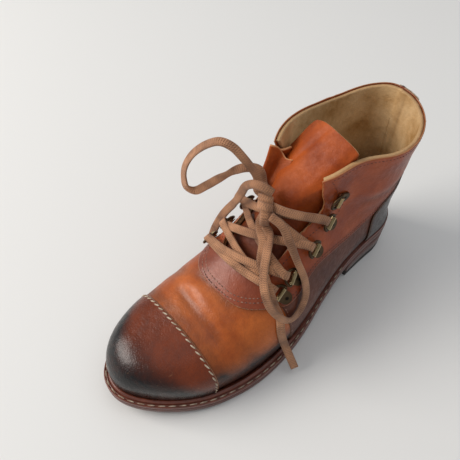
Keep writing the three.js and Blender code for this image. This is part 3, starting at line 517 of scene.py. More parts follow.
# Throat line and lines of the panels in the side view, as shares of the length and the collar.
collar_rows = table("forward height",
    (0.56, 0.87), (0.445, 0.92), (0.41, 0.975), (0.36, 1.0), (0.29, 0.995), (0.2, 0.965),
    (0.13, 0.95), (0.05, 0.97), (0.0, 1.0), (-0.1, 1.03))
seam_rows = table("forward height",
    (0.64, 0.62), (0.598, 0.455), (0.585, 0.3), (0.568, 0.1), (0.56, -0.1))
quarter_rows = table("forward height",
    (0.64, 0.62), (0.605, 0.45), (0.56, 0.425), (0.5, 0.46), (0.445, 0.49), (0.38, 0.48),
    (0.306, 0.455), (0.24, 0.455), (0.188, 0.48), (0.12, 0.58), (0.06, 0.68), (0.0, 0.73),
    (-0.2, 0.75))
counter_rows = table("forward height",
    (0.19, -0.2), (0.195, 0.1), (0.205, 0.3), (0.2, 0.43), (0.182, 0.475), (0.12, 0.57),
    (0.06, 0.67), (0.0, 0.72), (-0.2, 0.74))
cap_seam = 0.81 * tip_forward
throat_foot = np.array([0, heel_back - 0.622 * tip_forward, 0.93 * instep_height])
throat_head = np.array([0, heel_back - 0.446 * tip_forward, collar_height])
throat_length = np.linalg.norm(throat_head - throat_foot)
throat_up = (throat_head - throat_foot) / throat_length
throat_out = np.cross([1, 0, 0], throat_up)
throat_foot_half, throat_head_outer, throat_head_inner = (share * ball_width
                                                          for share in (0.2115, 0.183, 0.24))
throat_round, throat_depth, facing_width = 0.135 * ball_width, 0.43 * ball_width, 0.183 * ball_width


def spread(rows, steps=60):
    place = np.linspace(0, len(rows["forward"]) - 1, steps + 1)
    return tip_forward * smooth(rows, "forward", place), collar_height * smooth(rows, "height", place)


def line_height(rows, forward):
    along, heights = spread(rows)
    order = np.argsort(along)
    return np.interp(forward, along[order], heights[order])


def line_forward(rows, height):
    along, heights = spread(rows)
    order = np.argsort(heights)
    return np.interp(height, heights[order], along[order])


def throat_distance(point, margin=0.0):
    """How far a point is outside the throat's slot, seen square to the instep."""
    across = point[..., 0]
    run = (point - throat_foot) @ throat_up
    head = np.where(across > 0, throat_head_outer, throat_head_inner)
    half = throat_foot_half + margin + (head - throat_foot_half) * np.maximum(run, 0) / throat_length
    corner = throat_round + margin * 0.6
    beside = np.abs(across) - (half - corner)
    below = corner - margin - run
    outside = np.hypot(np.maximum(beside, 0), np.maximum(below, 0))
    flat = outside + np.minimum(np.maximum(beside, below), 0) - corner
    return np.maximum(flat, -((point - throat_foot) @ throat_out) - throat_depth)


def forward_of(point):
    return heel_back - point[..., 1]


def under_collar(point):
    return line_height(collar_rows, forward_of(point)) - point[..., 2]


def behind_seam(point):
    return line_forward(seam_rows, point[..., 2]) - forward_of(point)


def above_quarter_edge(point):
    return point[..., 2] - line_height(quarter_rows, forward_of(point))


def counter_front(point):
    along, heights = spread(counter_rows)
    low_part = slice(0, 34)
    return np.interp(point[..., 2], heights[low_part], along[low_part]) - forward_of(point)


def under_counter_top(point):
    along, heights = spread(counter_rows)
    top_part = slice(None, 24, -1)
    return np.interp(forward_of(point), along[top_part], heights[top_part]) - point[..., 2]


def cap_side(point):
    return forward_of(point) - cap_seam


# A panel is a fine sheet in the last's own two directions. It is cut along lines, laid on the
# last and given its thickness, with its outer edge rounded and its toe end tucked under.
toe_steps, side_steps = 190, 132
cut_reach, edge_round, toe_tuck, tuck_places = 0.8, 0.32, 2.5, 0.5


def read_places(mesh):
    spots = np.array([vertex.co[:2] for vertex in mesh.verts])
    return (spots[:, 1] + 1) / 2 * last_section, spots[:, 0]


def cut_along(mesh, distance_of, keep=False):
    places, sides = read_places(mesh)
    far = distance_of(last_point(places, sides))
    far[np.abs(far) < 0.04] = 0
    value = dict(zip(mesh.verts, far))
    for edge in list(mesh.edges):
        first, second = edge.verts
        if value[first] * value[second] < 0:
            share = value[first] / (value[first] - value[second])
            fresh = bmesh.utils.edge_split(edge, first, share)[1]
            value[fresh] = 0.0
    for face in list(mesh.faces):
        signs = [value[vertex] for vertex in face.verts]
        if min(signs) < 0 < max(signs):
            ends = [vertex for vertex in face.verts if value[vertex] == 0]
            if len(ends) >= 2:
                try:
                    bmesh.utils.face_split(face, ends[0], ends[1])
                except ValueError:
                    continue
    if not keep:
        gone = [vertex for vertex in mesh.verts if value[vertex] < 0]
        bmesh.ops.delete(mesh, geom=gone, context="VERTS")
    return {vertex for vertex in mesh.verts if value[vertex] == 0}


def sheet_of(lines, low=0.0, high=last_section, steps=toe_steps):
    mesh = bmesh.new()
    bmesh.ops.create_grid(mesh, x_segments=side_steps, y_segments=steps, size=1)
    for vertex in mesh.verts:
        place = low + (vertex.co.y + 1) / 2 * (high - low)
        vertex.co.y = 2 * place / last_section - 1
    for line in lines:
        cut_along(mesh, line)
    for line in lines:
        cut_along(mesh, lambda point, line=line: line(point) - cut_reach, keep=True)
    return mesh


def nothing(point):
    return np.zeros(len(point))


def inside_of(distance_of, margin):
    return lambda point: distance_of(point) - margin


def up_to(distance_of, margin):
    return lambda point: margin - distance_of(point)


def thicken(mesh):
    """Give a sheet its second side; the rim of the first is marked as a cut edge."""
    marked = mesh.verts.layers.float.new("edge")
    burnt_and_shaded = mesh.verts.layers.float.new("burnish_and_shade")
    for vertex in {vertex for edge in mesh.edges if edge.is_boundary for vertex in edge.verts}:
        vertex[marked] = 1.0
    made = bmesh.ops.extrude_face_region(mesh, geom=mesh.faces[:], use_keep_orig=True)
    fresh = {item for item in made["geom"] if isinstance(item, bmesh.types.BMVert)}
    marks = np.array([vertex[marked] for vertex in mesh.verts])
    return marked, burnt_and_shaded, marks, np.array([vertex in fresh for vertex in mesh.verts])


def panel(name, lines, inside, outside, material, node=None, creases=nothing, burnish_and_shade=nothing, **span):
    """Leather between two heights above the last, each a number or found from the place."""
    mesh = sheet_of(lines, **span)
    bmesh.ops.triangulate(mesh, faces=[face for face in mesh.faces if len(face.verts) > 4])
    marked, burnt_and_shaded, marks, top = thicken(mesh)
    places, sides = read_places(mesh)
    base, out = last_point(places, sides), last_normal(places, sides)
    foot = (np.abs(sides) > 0.995) | (places < 0.05)
    base[:, 2] -= toe_tuck * (1 - rising(places, 0, tuck_places))
    high = outside(base) if callable(outside) else outside
    lift = np.where(top, high - edge_round * marks * ~foot, inside) + creases(base)
    for vertex, spot, shade, raw in zip(mesh.verts, base + out * lift[:, None], burnish_and_shade(base),
                                        np.where(foot, 0.0, marks)):
        vertex.co = Vector(spot) * millimetre
        vertex[burnt_and_shaded] = shade
        vertex[marked] = raw
    bmesh.ops.remove_doubles(mesh, verts=mesh.verts, dist=2e-6)
    return add_piece(name, mesh, material, node)


# Places of the lace rings on the last, and the directions in which each sits.
ring_rows = table("outer_place outer_side inner_place inner_side",
                  (9.3, 0.255, 9.0, 0.265), (10.3, 0.27, 10.2, 0.28), (11.9, 0.32, 11.6, 0.29),
                  (13.8, 0.33, 13.6, 0.29), (16.6, 0.33, 16.4, 0.28))
flanks = {"outer": 1, "inner": -1}


def ring_seat(flank, number):
    """The foot of a ring on the quarter, the way along the throat, away from it and outward."""
    place = np.array([ring_rows[flank + "_place"][number - 1]])
    side = np.array([flanks[flank] * ring_rows[flank + "_side"][number - 1]])
    out = last_normal(place, side)[0]
    base = last_point(place, side)[0] + out * (quarter_step + 2 * clearance)
    along = (last_point(place + 0.3, side) - last_point(place - 0.3, side))[0]
    along = unit(along - out * (along @ out))
    away = np.cross(along, out) * np.sign(side[0])
    if away[0] * side[0] < 0:
        away = -away
    return base, along, away, out


ring_places = [ring_seat(flank, number)[0] for flank in flanks for number in range(1, 6)]


# Creases of wear: each is a line across the upper from one point to another, with
# its depth (a ridge where negative) and its width, in millimetres. The leather stays smooth
# within calm_near of a ring.
crease_sag, calm_near, calm_far = 3, 7, 16
crease_lines = [
    ((-24, -173, 53.5), (4, -177.5, 55.6), 1.5, 4.5), ((4, -177.5, 55.6), (30, -178, 49), 1.3, 4.5),
    ((-26, -165, 57), (10, -168, 58), -1.1, 6.0), ((8, -168, 58), (34, -169, 51), -0.8, 6.0),
    ((-46, -164, 40), (0, -158, 70), 1.0, 5.0), ((0, -158, 70), (34, -168, 50), 0.9, 5.0),
    ((34, -168, 50), (50, -160, 26), 0.7, 5.0), ((-30, -172, 55), (20, -170, 62), -0.6, 5.0),
    ((12, -176, 60), (48, -180, 30), 0.4, 4.0), ((40, -120, 60), (45, -60, 50), 0.5, 6.0),
    ((44, -120, 38), (36, -40, 40), -0.4, 8.0), ((30, -60, 95), (30, 0, 84), 1.1, 6.0),
    ((30, -10, 84), (16, 22, 98), 0.9, 6.0), ((30, -68, 80), (30, -8, 72), 0.7, 5.0),
    ((30, -60, 103), (30, -2, 96), -0.8, 7.0), ((-30, -70, 96), (-32, 0, 84), 1.1, 6.0),
    ((-32, -10, 84), (-14, 22, 96), 0.8, 6.0), ((-30, -66, 80), (-32, -6, 74), 0.7, 5.0),
    ((36, -90, 76), (32, -40, 88), 0.7, 5.0), ((30, -40, 118), (28, 6, 112), 0.6, 7.0),
    ((-40, -94, 76), (-34, -40, 88), 0.7, 5.0), ((-46, -120, 56), (-42, -50, 50), 0.4, 7.0),
]


def share_along(point, start, end):
    return np.clip((point - start) @ (end - start) / np.sum((end - start) ** 2), 0, 1)


def faded(share):
    """Full in the middle of a crease, shallow at its ends."""
    return np.sin(math.pi * np.clip(share * 0.9 + 0.05, 0, 1)) ** 0.6


def wear(point):
    lift = np.zeros(len(point))
    calm = np.min([np.linalg.norm(point - place, axis=1) for place in ring_places], axis=0)
    for start, end, depth, width in crease_lines:
        start, end = np.array(start, float), np.array(end, float)
        share = share_along(point, start, end)
        middle = start + share[:, None] * (end - start)
        sag = crease_sag * np.sin(share * math.pi)
        apart = np.linalg.norm(point - middle - [0, 0, 0.5] * sag[:, None], axis=1)
        lift -= depth * faded(share) * np.exp(-(apart / width) ** 2)
    return lift * rising(calm, calm_near, calm_far)


# Leathers: waxed calf, vegetable tanned. The polish has darkened it at the toe and along the sole.
# Painted shade darkens the creases, the lining deep in the boot, the gusset's fold, the tongue under
# the laces and the leather beside edges that lie over it. Cut edges are pale and raw, partly a painted
# highlight along each edge.
def leather(name, light, dark, burnt_and_shaded, raw="#b9906a", roughness=0.38, coat=0.25, grain=0.5,
            scuffs=0.5, specular=0.32):
    material, tree = new_material(name)
    place = place_on(tree)
    cloud = noise(tree, place, 38.0, 6.0, 0.6)
    fine = noise(tree, place, 260.0, 4.0, 0.65)
    worn = noise(tree, place, 150.0, 8.0, 0.7, 1.2)
    folds = noise(tree, place, 85.0, 5.0, distortion=2.0)
    pores = add(tree, "ShaderNodeTexVoronoi", {"Vector": place, "Scale": 900.0}).outputs["Distance"]
    burnish_and_shade, edge = (add(tree, "ShaderNodeAttribute", {}, attribute_name=layer).outputs["Fac"]
                     for layer in ("burnish_and_shade", "edge"))
    # The first attribute darkens the leather towards its darkest colour: real burnish from polish, and
    # painted shade in creases, deep in the lining, in the gusset's fold, on the tongue and beside edges that
    # lie over the leather.
    amount = combined(tree, "ADD", burnish_and_shade, stretched(tree, cloud, 0.3, 0.7, -0.14, 0.14), clamp=True)
    amount = combined(tree, "ADD", amount, stretched(tree, fine, 0.3, 0.7, -0.1, 0.1), clamp=True)
    colour = mixed(tree, stretched(tree, cloud, 0.34, 0.66), dark, light)
    colour = mixed(tree, amount, colour, burnt_and_shaded)
    colour = mixed(tree, stretched(tree, worn, 0.64, 0.74, 0.0, scuffs), colour, raw)
    # Pale raw cut edges along each panel's rim, partly a painted highlight along the edge.
    colour = mixed(tree, stretched(tree, edge, 0.35, 0.95, 0.0, 0.85), colour, raw)
    height = combined(tree, "ADD", fine, combined(tree, "MULTIPLY", pores, 0.35))
    height = combined(tree, "ADD", folds, height)
    finish_material(tree, {
        "Base Color": colour, "Coat Weight": coat, "Coat Roughness": 0.24,
        "Roughness": stretched(tree, fine, 0.3, 0.7, roughness - 0.07, roughness + 0.13),
        "Specular IOR Level": specular, "Normal": relief(tree, height, grain, 0.0006)})
    return material


vamp_leather = leather("waxed_calf_tan", "#c4682a", "#964616", "#20100c", raw="#a8754c",
                       coat=0.2, specular=0.27)
cap_leather = leather("burnished_calf_toe", "#7c3410", "#54200a", "#090607", roughness=0.28, coat=0.3,
                      specular=0.27)
facing_leather = leather("waxed_calf_red_brown", "#984a2c", "#74341e", "#28130f", raw="#b08a68",
                         specular=0.27)
quarter_leather = leather("waxed_calf_quarter", "#b0501e", "#843412", "#22100a", raw="#a8754c",
                          coat=0.16, specular=0.26)
lower_leather = leather("waxed_calf_dark", "#78402a", "#522618", "#180e0c", raw="#7a5a48",
                        coat=0.1, specular=0.22)
counter_leather = leather("burnished_calf_heel", "#4a3430", "#362624", "#121012", raw="#7a6454",
                          roughness=0.34, scuffs=0.5)
strip_leather = leather("worn_calf_strip", "#5a4038", "#40302c", "#1c1614", raw="#c8bca8", scuffs=0.9)
tongue_leather = leather("soft_calf_tongue", "#b8561a", "#883810", "#381408", raw="#d8a070",
                         roughness=0.5, coat=0.0, scuffs=0.2, specular=0.25)
lining_leather = leather("natural_calf_lining", "#e4c292", "#a87e4a", "#6a4824", raw="#b08c62",
                         roughness=0.6, coat=0.0, grain=0.7, scuffs=0.2)


def above_feather(point):
    return point[..., 2] - feather(np.clip(forward_of(point), heel_tuck, length - 10))


# Painted shade in the creases: the leather is darker in the troughs of the folds.
def crease_shade(point):
    return 0.4 * np.clip(-wear(point), 0, 1)


def vamp_burnish_and_shade(point):
    # Burnish darkens the vamp along the sole and on its inner side. Painted shade makes that band taller on
    # the outer side, away from the window, and darkens the creases; painted shadows lie beside the cap's
    # edge and the facing's edge.
    shaded_outer_side = rising(point[..., 0], 10, 44)
    low = 1 - rising(above_feather(point), 3 + 9 * shaded_outer_side, 17 + 17 * shaded_outer_side)
    cap_edge_shadow = 1 - rising(np.abs(forward_of(point) - cap_seam + 3), 1, 9)
    facing_edge_shadow = 1 - rising(throat_distance(point, facing_width), 0, 7)
    inner_side = 0.3 * rising(-point[..., 0], 20, 46)
    return np.clip(low + 0.42 * cap_edge_shadow + 0.3 * facing_edge_shadow + inner_side + crease_shade(point), 0, 0.95)


def cap_burnish(point):
    ahead = rising(forward_of(point), cap_seam, tip_forward - 8)
    inner_side = rising(-point[..., 0], 14, 44)
    reach = 14 + 30 * ahead + 14 * inner_side
    low = 1 - rising(above_feather(point) / reach, 0.45, 1.15)
    return np.clip(low + 0.25 * inner_side, 0, 0.98)


def low_burnish(point):
    return 0.7 * (1 - rising(above_feather(point), 0, 22)) + 0.25


def quarter_burnish_and_shade(point):
    # Burnish darkens the quarter near its lower edge and towards the back; painted shade darkens the
    # creases.
    low = 1 - rising(above_quarter_edge(point), 0, 9)
    back_part = 1 - rising(forward_of(point), 6, 42)
    return np.clip(0.45 * low + 0.55 * back_part + crease_shade(point), 0, 0.9)


def counter_burnish(point):
    return 0.35 + 0.45 * (1 - rising(above_feather(point), 0, 30))


def lining_shade_and_seam(point):
    # Painted shade darkens the lining the deeper it lies in the boot; a dark line marks the back seam.
    deep_shade = 1 - rising(point[..., 2], 20, 95)
    back_seam = 0.5 * np.exp(-(point[..., 0] / 1.1) ** 2) * rising(60 - forward_of(point), 0, 10)
    return np.clip(0.75 * deep_shade + back_seam, 0, 0.9)


def lining_top(point):
    """The lining fills the step under the quarter, short of the quarter's own edges."""
    return -1.0 + 1.8 * rising(np.minimum(behind_seam(point), above_quarter_edge(point)), 3, 6)


def lining_wear(point):
    return 0.8 * wear(point)


def front_of_seam(point):
    return -behind_seam(point)


def in_facing(point):
    return -throat_distance(point, facing_width)


lap, strip_half, strip_length, back_reach = 9, 9, 0.74, 60
on_lower = lower_step + 2 * clearance
on_quarter = quarter_step + clearance
panel("lining", [inside_of(under_collar, 1.1), inside_of(throat_distance, 0.8)], -upper_wall, lining_top,
      lining_leather, "upper", creases=lining_wear, burnish_and_shade=lining_shade_and_seam)
panel("vamp", [under_collar, throat_distance, up_to(behind_seam, lap)], -1.0, 0.0, vamp_leather,
      creases=wear, burnish_and_shade=vamp_burnish_and_shade)
panel("lower_panel", [under_collar, behind_seam, up_to(above_quarter_edge, lap), throat_distance],
      -1.0, lower_step, lower_leather, creases=wear, burnish_and_shade=low_burnish)
panel("quarter", [under_collar, throat_distance, behind_seam, above_quarter_edge], lower_step,
      quarter_step, quarter_leather, creases=wear, burnish_and_shade=quarter_burnish_and_shade)
panel("toe_cap", [cap_side], clearance, clearance + overlay, cap_leather, "toe_cap",
      burnish_and_shade=cap_burnish, low=0.0, high=8.0)
panel("facing", [throat_distance, in_facing, inside_of(front_of_seam, clearance)], clearance,
      clearance + overlay, facing_leather, "facing", creases=wear, low=6.0, high=14.0)
panel("counter", [counter_front, under_counter_top], on_lower, on_lower + overlay, counter_leather,
      "counter", creases=wear, burnish_and_shade=counter_burnish, low=10.0)
panel("back_strip", [under_collar, lambda point: strip_half - np.abs(point[..., 0]),
                     lambda point: point[..., 2] - strip_length * collar_height,
                     up_to(forward_of, back_reach)],
      on_quarter, on_quarter + overlay, strip_leather, "back_strip", low=14.0)


# Tongue: soft calf, loose under the laces, rounded at the top and leaning back into the collar.
# A fold of it, the gusset, joins its inner edge to the quarter.
tongue_rows = table(
    "place spread free forward height half fall shift",
    (7.7, 0.2, 0, 0.69, 0.42, 0.3, 0.2, 0), (8.4, 0.27, 0, 0.64, 0.5, 0.3, 0.2, 0),
    (9.4, 0.31, 0, 0.59, 0.6, 0.3, 0.2, 0), (10.8, 0.32, 0, 0.54, 0.68, 0.33, 0.25, 0),
    (12.4, 0.33, 0, 0.49, 0.76, 0.33, 0.25, -0.01), (14, 0.33, 0.45, 0.46, 0.83, 0.31, 0.22, -0.01),
    (16, 0.33, 1, 0.415, 0.9, 0.29, 0.15, 0.01), (18, 0.33, 1, 0.37, 0.98, 0.265, 0.1, 0.04),
    (20, 0.33, 1, 0.33, 1.05, 0.24, 0.07, 0.06), (20, 0.33, 1, 0.315, 1.08, 0.18, 0.05, 0.06))
tongue_thickness, tongue_slant, top_round, rim_round = 2.6, 0.06, 0.07, 0.4
tongue_last = len(tongue_rows["place"]) - 1


def tongue_point(run, across, depth):
    place = run * tongue_last * (1 - tongue_slant * run * run * (1 + across))
    ahead, behind = np.minimum(place + 0.05, tongue_last), np.maximum(place - 0.05, 0)
    row = {name: smooth(tongue_rows, name, place) for name in tongue_rows}
    rise = collar_height * (smooth(tongue_rows, "height", ahead) - smooth(tongue_rows, "height", behind))
    lean = tip_forward * (smooth(tongue_rows, "forward", ahead) - smooth(tongue_rows, "forward", behind))
    span = np.hypot(rise, lean)
    fall = ball_width * row["fall"] * across * across + depth
    free = np.stack([ball_width * (row["half"] * across + row["shift"]),
                     heel_back - tip_forward * row["forward"] + rise / span * fall,
                     collar_height * row["height"] + lean / span * fall], -1)
    side = row["spread"] * across
    under = last_point(row["place"], side)
    under = under - last_normal(row["place"], side) * (upper_wall + 3 * clearance + depth)[..., None]
    share = np.clip(row["free"], 0, 1)[..., None]
    return under + (free - under) * share


tongue_folds = [
    ((-0.1, 0.5), (0.75, 0.6), 0.9, 0.035), ((-0.8, 0.55), (0.2, 0.66), 0.7, 0.04),
    ((-0.5, 0.68), (-0.35, 0.98), 0.9, 0.05), ((0.3, 0.62), (0.5, 0.95), -0.8, 0.06),
    ((-0.05, 0.62), (0.05, 0.9), 0.5, 0.05), ((-0.7, 0.42), (0.7, 0.44), -0.6, 0.03),
]


def tongue_wave(across, run):
    lift = np.zeros_like(run)
    spot = np.stack([across, run], -1)
    for start, end, depth, width in tongue_folds:
        start, end = np.array(start), np.array(end)
        share = share_along(spot, start, end)
        gap = (spot - start - share[:, None] * (end - start)) * [0.35, 1]
        lift += depth * faded(share) * np.exp(-np.sum(gap ** 2, axis=1) / width ** 2)
    return lift


def kept_inside(points, depth):
    """Points of the tongue, moved back into the hollow where they would stand past the lining."""
    lining = sheet_of([], low=6.0)
    places, sides = read_places(lining)
    walls = last_point(places, sides) - last_normal(places, sides) * (upper_wall + 0.5)
    for vertex, spot in zip(lining.verts, walls):
        vertex.co = Vector(spot)
    lining.normal_update()
    tree = BVHTree.FromBMesh(lining)
    moved = []
    for spot, sunk in zip(points, depth):
        near, normal, face, gap = tree.find_nearest(Vector(spot))
        normal = normal if normal.dot(near - Vector((0, near.y + 20, 60))) > 0 else -normal
        past = (Vector(spot) - near).dot(normal) + max(sunk, 0)
        moved.append(spot - np.array(normal) * max(past, 0))
    lining.free()
    return moved


mesh = bmesh.new()
bmesh.ops.create_grid(mesh, x_segments=64, y_segments=150, size=1)
marked, burnt_and_shaded, marks, under = thicken(mesh)
spots = np.array([vertex.co[:2] for vertex in mesh.verts])
run, across = (spots[:, 1] + 1) / 2, np.sin(spots[:, 0] * math.pi / 2)
rounded = run * (1 - top_round * np.abs(across) ** 4 * rising(run, 0.55, 1))
depth = np.where(under, tongue_thickness - rim_round * marks, rim_round * marks) + tongue_wave(across, run)
shade = 0.75 * (1 - rising(rounded, 0.3, 0.6)) + 0.35 * rising(np.abs(across), 0.55, 1)
points = kept_inside(tongue_point(rounded, across, depth), depth)
for vertex, spot, tone in zip(mesh.verts, points, shade):
    vertex.co = Vector(spot) * millimetre
    vertex[burnt_and_shaded] = tone
add_piece("tongue", mesh, tongue_leather, "tongue")


# The gusset is thin and lies in a fold between the quarter and the tongue. Its rows run from the
# quarter's edge to the tongue, from the top down.
gusset_rows = [
    [(-20.5, -71.0, 129.0), (-22.5, -78.5, 129.5), (-28.5, -82.0, 131.5), (-27.0, -84.0, 133.5),
     (-24.0, -80.5, 132.0), (-21.0, -78.5, 127.5), (-17.5, -78.5, 125.0), (-12.0, -77.0, 126.0)],
    [(-20.0, -66.5, 112.0), (-22.0, -74.5, 112.5), (-28.5, -84.0, 119.0), (-26.5, -88.0, 123.0),
     (-23.5, -86.0, 121.0), (-21.0, -83.0, 117.5), (-17.0, -84.0, 117.0), (-11.0, -84.5, 119.0)],
    [(-20.0, -66.5, 98.0), (-22.0, -75.0, 98.0), (-28.0, -89.0, 107.5), (-26.0, -93.5, 112.0),
     (-23.5, -91.5, 110.5), (-20.5, -89.5, 108.0), (-16.0, -91.0, 108.0), (-10.0, -93.0, 110.5)],
    [(-19.5, -79.0, 92.0), (-21.5, -86.0, 93.0), (-26.0, -96.0, 99.0), (-25.0, -99.5, 101.5),
     (-23.0, -98.0, 100.5), (-20.0, -96.5, 98.5), (-15.0, -98.5, 99.0), (-9.0, -101.0, 102.0)],
]
across_rows = np.array([smooth_line(row, 6) for row in gusset_rows])
fold = np.array([smooth_line(column, 7) for column in across_rows.transpose(1, 0, 2)])
mesh = bmesh.new()
burnt_and_shaded = mesh.verts.layers.float.new("burnish_and_shade")
marked = mesh.verts.layers.float.new("edge")
grid = [corners(mesh, column) for column in fold]
for column in grid:
    column[0][marked] = 1.0
    for step, vertex in enumerate(column):
        # Painted shade: the gusset darkens towards the tongue, deep in its fold.
        vertex[burnt_and_shaded] = 0.15 + 0.6 * rising(step / len(column), 0.3, 1)
skin(mesh, grid, ring=False)
gusset = add_piece("gusset", mesh, tongue_leather)
thickness = gusset.modifiers.new("thickness", "SOLIDIFY")
thickness.thickness = 1.0 * millimetre
thickness.offset = 0


# Lace rings: ten D-rings of 2 mm wire on folded plates, brass gone brown and rubbed bright, with a painted
# highlight on the rolled bar of each plate.
# They sit on the quarters beside the throat; the top pair hangs free.
def antique_brass(name, light, dark, roughness):
    material, tree = new_material(name)
    tarnish = noise(tree, place_on(tree), 320.0, 5.0)
    rubbed = add(tree, "ShaderNodeNewGeometry", {}).outputs["Pointiness"]
    amount = combined(tree, "ADD", stretched(tree, rubbed, 0.53, 0.62),
                      stretched(tree, tarnish, 0.35, 0.7, 0.0, 0.22), clamp=True)
    finish_material(tree, {"Base Color": mixed(tree, amount, dark, light), "Metallic": 0.9,
                           "Roughness": roughness, "Normal": relief(tree, tarnish, 0.25, 0.0002)})
    return material


brass = antique_brass("antique_brass", "#8a6e4c", "#241a12", 0.4)
tab_brass = antique_brass("browned_brass", "#5c4a34", "#1c1510", 0.42)
# A lighter copy of the brass: a painted highlight for the rolled bar of each plate.
bar_highlight_brass = antique_brass("bar_highlight_brass", "#dccaa0", "#8c7854", 0.24)
ring_wire, ring_width, ring_reach, plate_thickness, plate_reach = 2.0, 14.0, 8.5, 0.9, 9.5
knuckle = ring_wire / 2 + clearance + plate_thickness
plate_width = ring_width - 2 * ring_wire - 2 * clearance
ring_tilt, lace_lift, ring_mouth = 0.22, 3.6, 9.1
rivet_place, rivet_radius, rivet_height, bevel = 5.6, 1.5, 0.6, 0.97
top_ring = 5


def swept(mesh, path, side, up, section, closed):
    """Add a tube along a path; its section lies between the side and up directions."""
    rows = [corners(mesh, [spot + sideways * x + upward * y for x, y in section])
            for spot, sideways, upward in zip(path, side, up)]
    skin(mesh, rows, closed=closed)
    if not closed:
        mesh.faces.new(rows[0])
        mesh.faces.new(rows[-1])


def arc(radius, angles):
    return [(radius * math.cos(angle), radius * math.sin(angle)) for angle in angles]


def lean_of(away, out):
    """The way a ring points from its bar: to the throat and a little up."""
    return -away * math.cos(ring_tilt) + out * math.sin(ring_tilt)


def ring(flank, number):
    base, along, away, out = ring_seat(flank, number)
    face = out * math.cos(ring_tilt) + away * math.sin(ring_tilt)
    turns = np.linspace(0, 2 * math.pi, 44, endpoint=False)
    half, reach = (ring_width - ring_wire) / 2, ring_reach - ring_wire / 2
    bow = np.maximum(np.sin(turns), 0) ** 0.8
    path = (base + out * knuckle + along * half * np.cos(turns)[:, None]
            + lean_of(away, out) * (reach * bow)[:, None])
    ahead = unit(np.roll(path, -1, axis=0) - np.roll(path, 1, axis=0))
    wire = arc(ring_wire / 2, np.linspace(0, 2 * math.pi, 14, endpoint=False))
    mesh = bmesh.new()
    swept(mesh, path, np.cross(ahead, face), np.tile(face, (44, 1)), wire, True)
    name = "ring_%s_%d" % (flank, number)
    add_piece(name, mesh, brass, name, "top_ring_" + flank if number == top_ring else "boot")


def ring_plate(flank, number):
    """A tab with a round end, rolled over the ring's bar, with a rivet."""
    base, along, away, out = ring_seat(flank, number)
    turn = np.linspace(-0.5 * math.pi, -1.32 * math.pi - 0.62, 18)
    roll = arc(knuckle, turn) + arc(ring_wire / 2 + clearance, turn[::-1])
    half = plate_width / 2
    round_end = [(x, y + plate_reach - half) for x, y in arc(half, np.linspace(0, math.pi, 18))]
    outline = [(-half, 0.0), (half, 0.0)] + round_end
    mesh = bmesh.new()
    low_row = corners(mesh, [base + along * x + away * y for x, y in outline])
    high_row = corners(mesh, [base + along * x * bevel + away * y * bevel + out * plate_thickness
                              for x, y in outline])
    mesh.faces.new(low_row[::-1])
    mesh.faces.new(high_row)
    skin(mesh, [low_row, high_row])
    bar = np.array([base + out * knuckle + along * x for x in (-half, -half + 0.35, half - 0.35, half)])
    swept(mesh, bar, np.tile(away, (4, 1)), np.tile(out, (4, 1)), roll, False)
    # The rolled bar takes the lighter brass, its painted highlight.
    for face in mesh.faces[len(outline) + 2:]:
        face.material_index = 1
    rivet = Matrix(np.stack([along * rivet_radius, away * rivet_radius, out * rivet_height], 1) * millimetre)
    spot = Vector(base + away * rivet_place + out * 0.75) * millimetre
    bmesh.ops.create_uvsphere(mesh, u_segments=16, v_segments=8, radius=1.0,
                              matrix=Matrix.Translation(spot) @ rivet.to_4x4())
    name = "ring_plate_%s_%d" % (flank, number)
    add_piece(name, mesh, tab_brass, name, smooth=False).data.materials.append(bar_highlight_brass)


for number in range(1, top_ring + 1):
    for flank in flanks:
        ring(flank, number)
        ring_plate(flank, number)


# The lace runs through the rings in one length: from the knot to the fourth outer ring, down
# across the tongue to the straight bar at the foot of the throat, and back up to the knot.
# Each stop has the bulge of the stretch that follows it.
lace_stops = [("outer", 4, 15.0), ("inner", 3, 7.0), ("outer", 2, 9.4), ("inner", 1, 7.0),
              ("outer", 1, 7.0), ("inner", 2, 11.6), ("outer", 3, 17.2), ("inner", 4, 7.0)]
start_knot, end_knot = np.array([2.0, -109.5, 115.0]), np.array([-11.0, -106.5, 114.0])
round_wire, before_wire, start_bulge = 1.75, 3.4, 9.5


def mouth(flank, number):
    base, along, away, out = ring_seat(flank, number)
    wire = base + out * knuckle + lean_of(away, out) * (ring_reach - ring_wire / 2)
    return base - away * ring_mouth + out * lace_lift, wire, away, out


path, facing = [start_knot], [throat_out]
ends = [start_knot] + [mouth(flank, number)[0] for flank, number, bulge in lace_stops] + [end_knot]
bulges = [start_bulge] + [bulge for flank, number, bulge in lace_stops]
sign = 1
for index, bulge in enumerate(bulges):
    for share in (0.3, 0.5, 0.7) if index not in (0, len(bulges) - 1) else (0.35, 0.65):
        path.append(ends[index] * (1 - share) + ends[index + 1] * share
                    + throat_out * 4 * share * (1 - share) * bulge)
        facing.append(sign * throat_out)
    if index == len(lace_stops):
        break
    flank, number, bulge = lace_stops[index]
    spot, wire, away, out = mouth(flank, number)
    path += [wire - away * before_wire + out * 1.9, wire + out * round_wire, wire + away * round_wire,
             wire - out * round_wire, wire - away * before_wire - out * 1.0]
    facing += [sign * out, sign * out, sign * away, -sign * out, -sign * out]
    sign = -sign
path.append(end_knot)
facing.append(sign * throat_out)
strip("lacing", smooth_line(path, 5), smooth_line(facing, 5), "lacing")


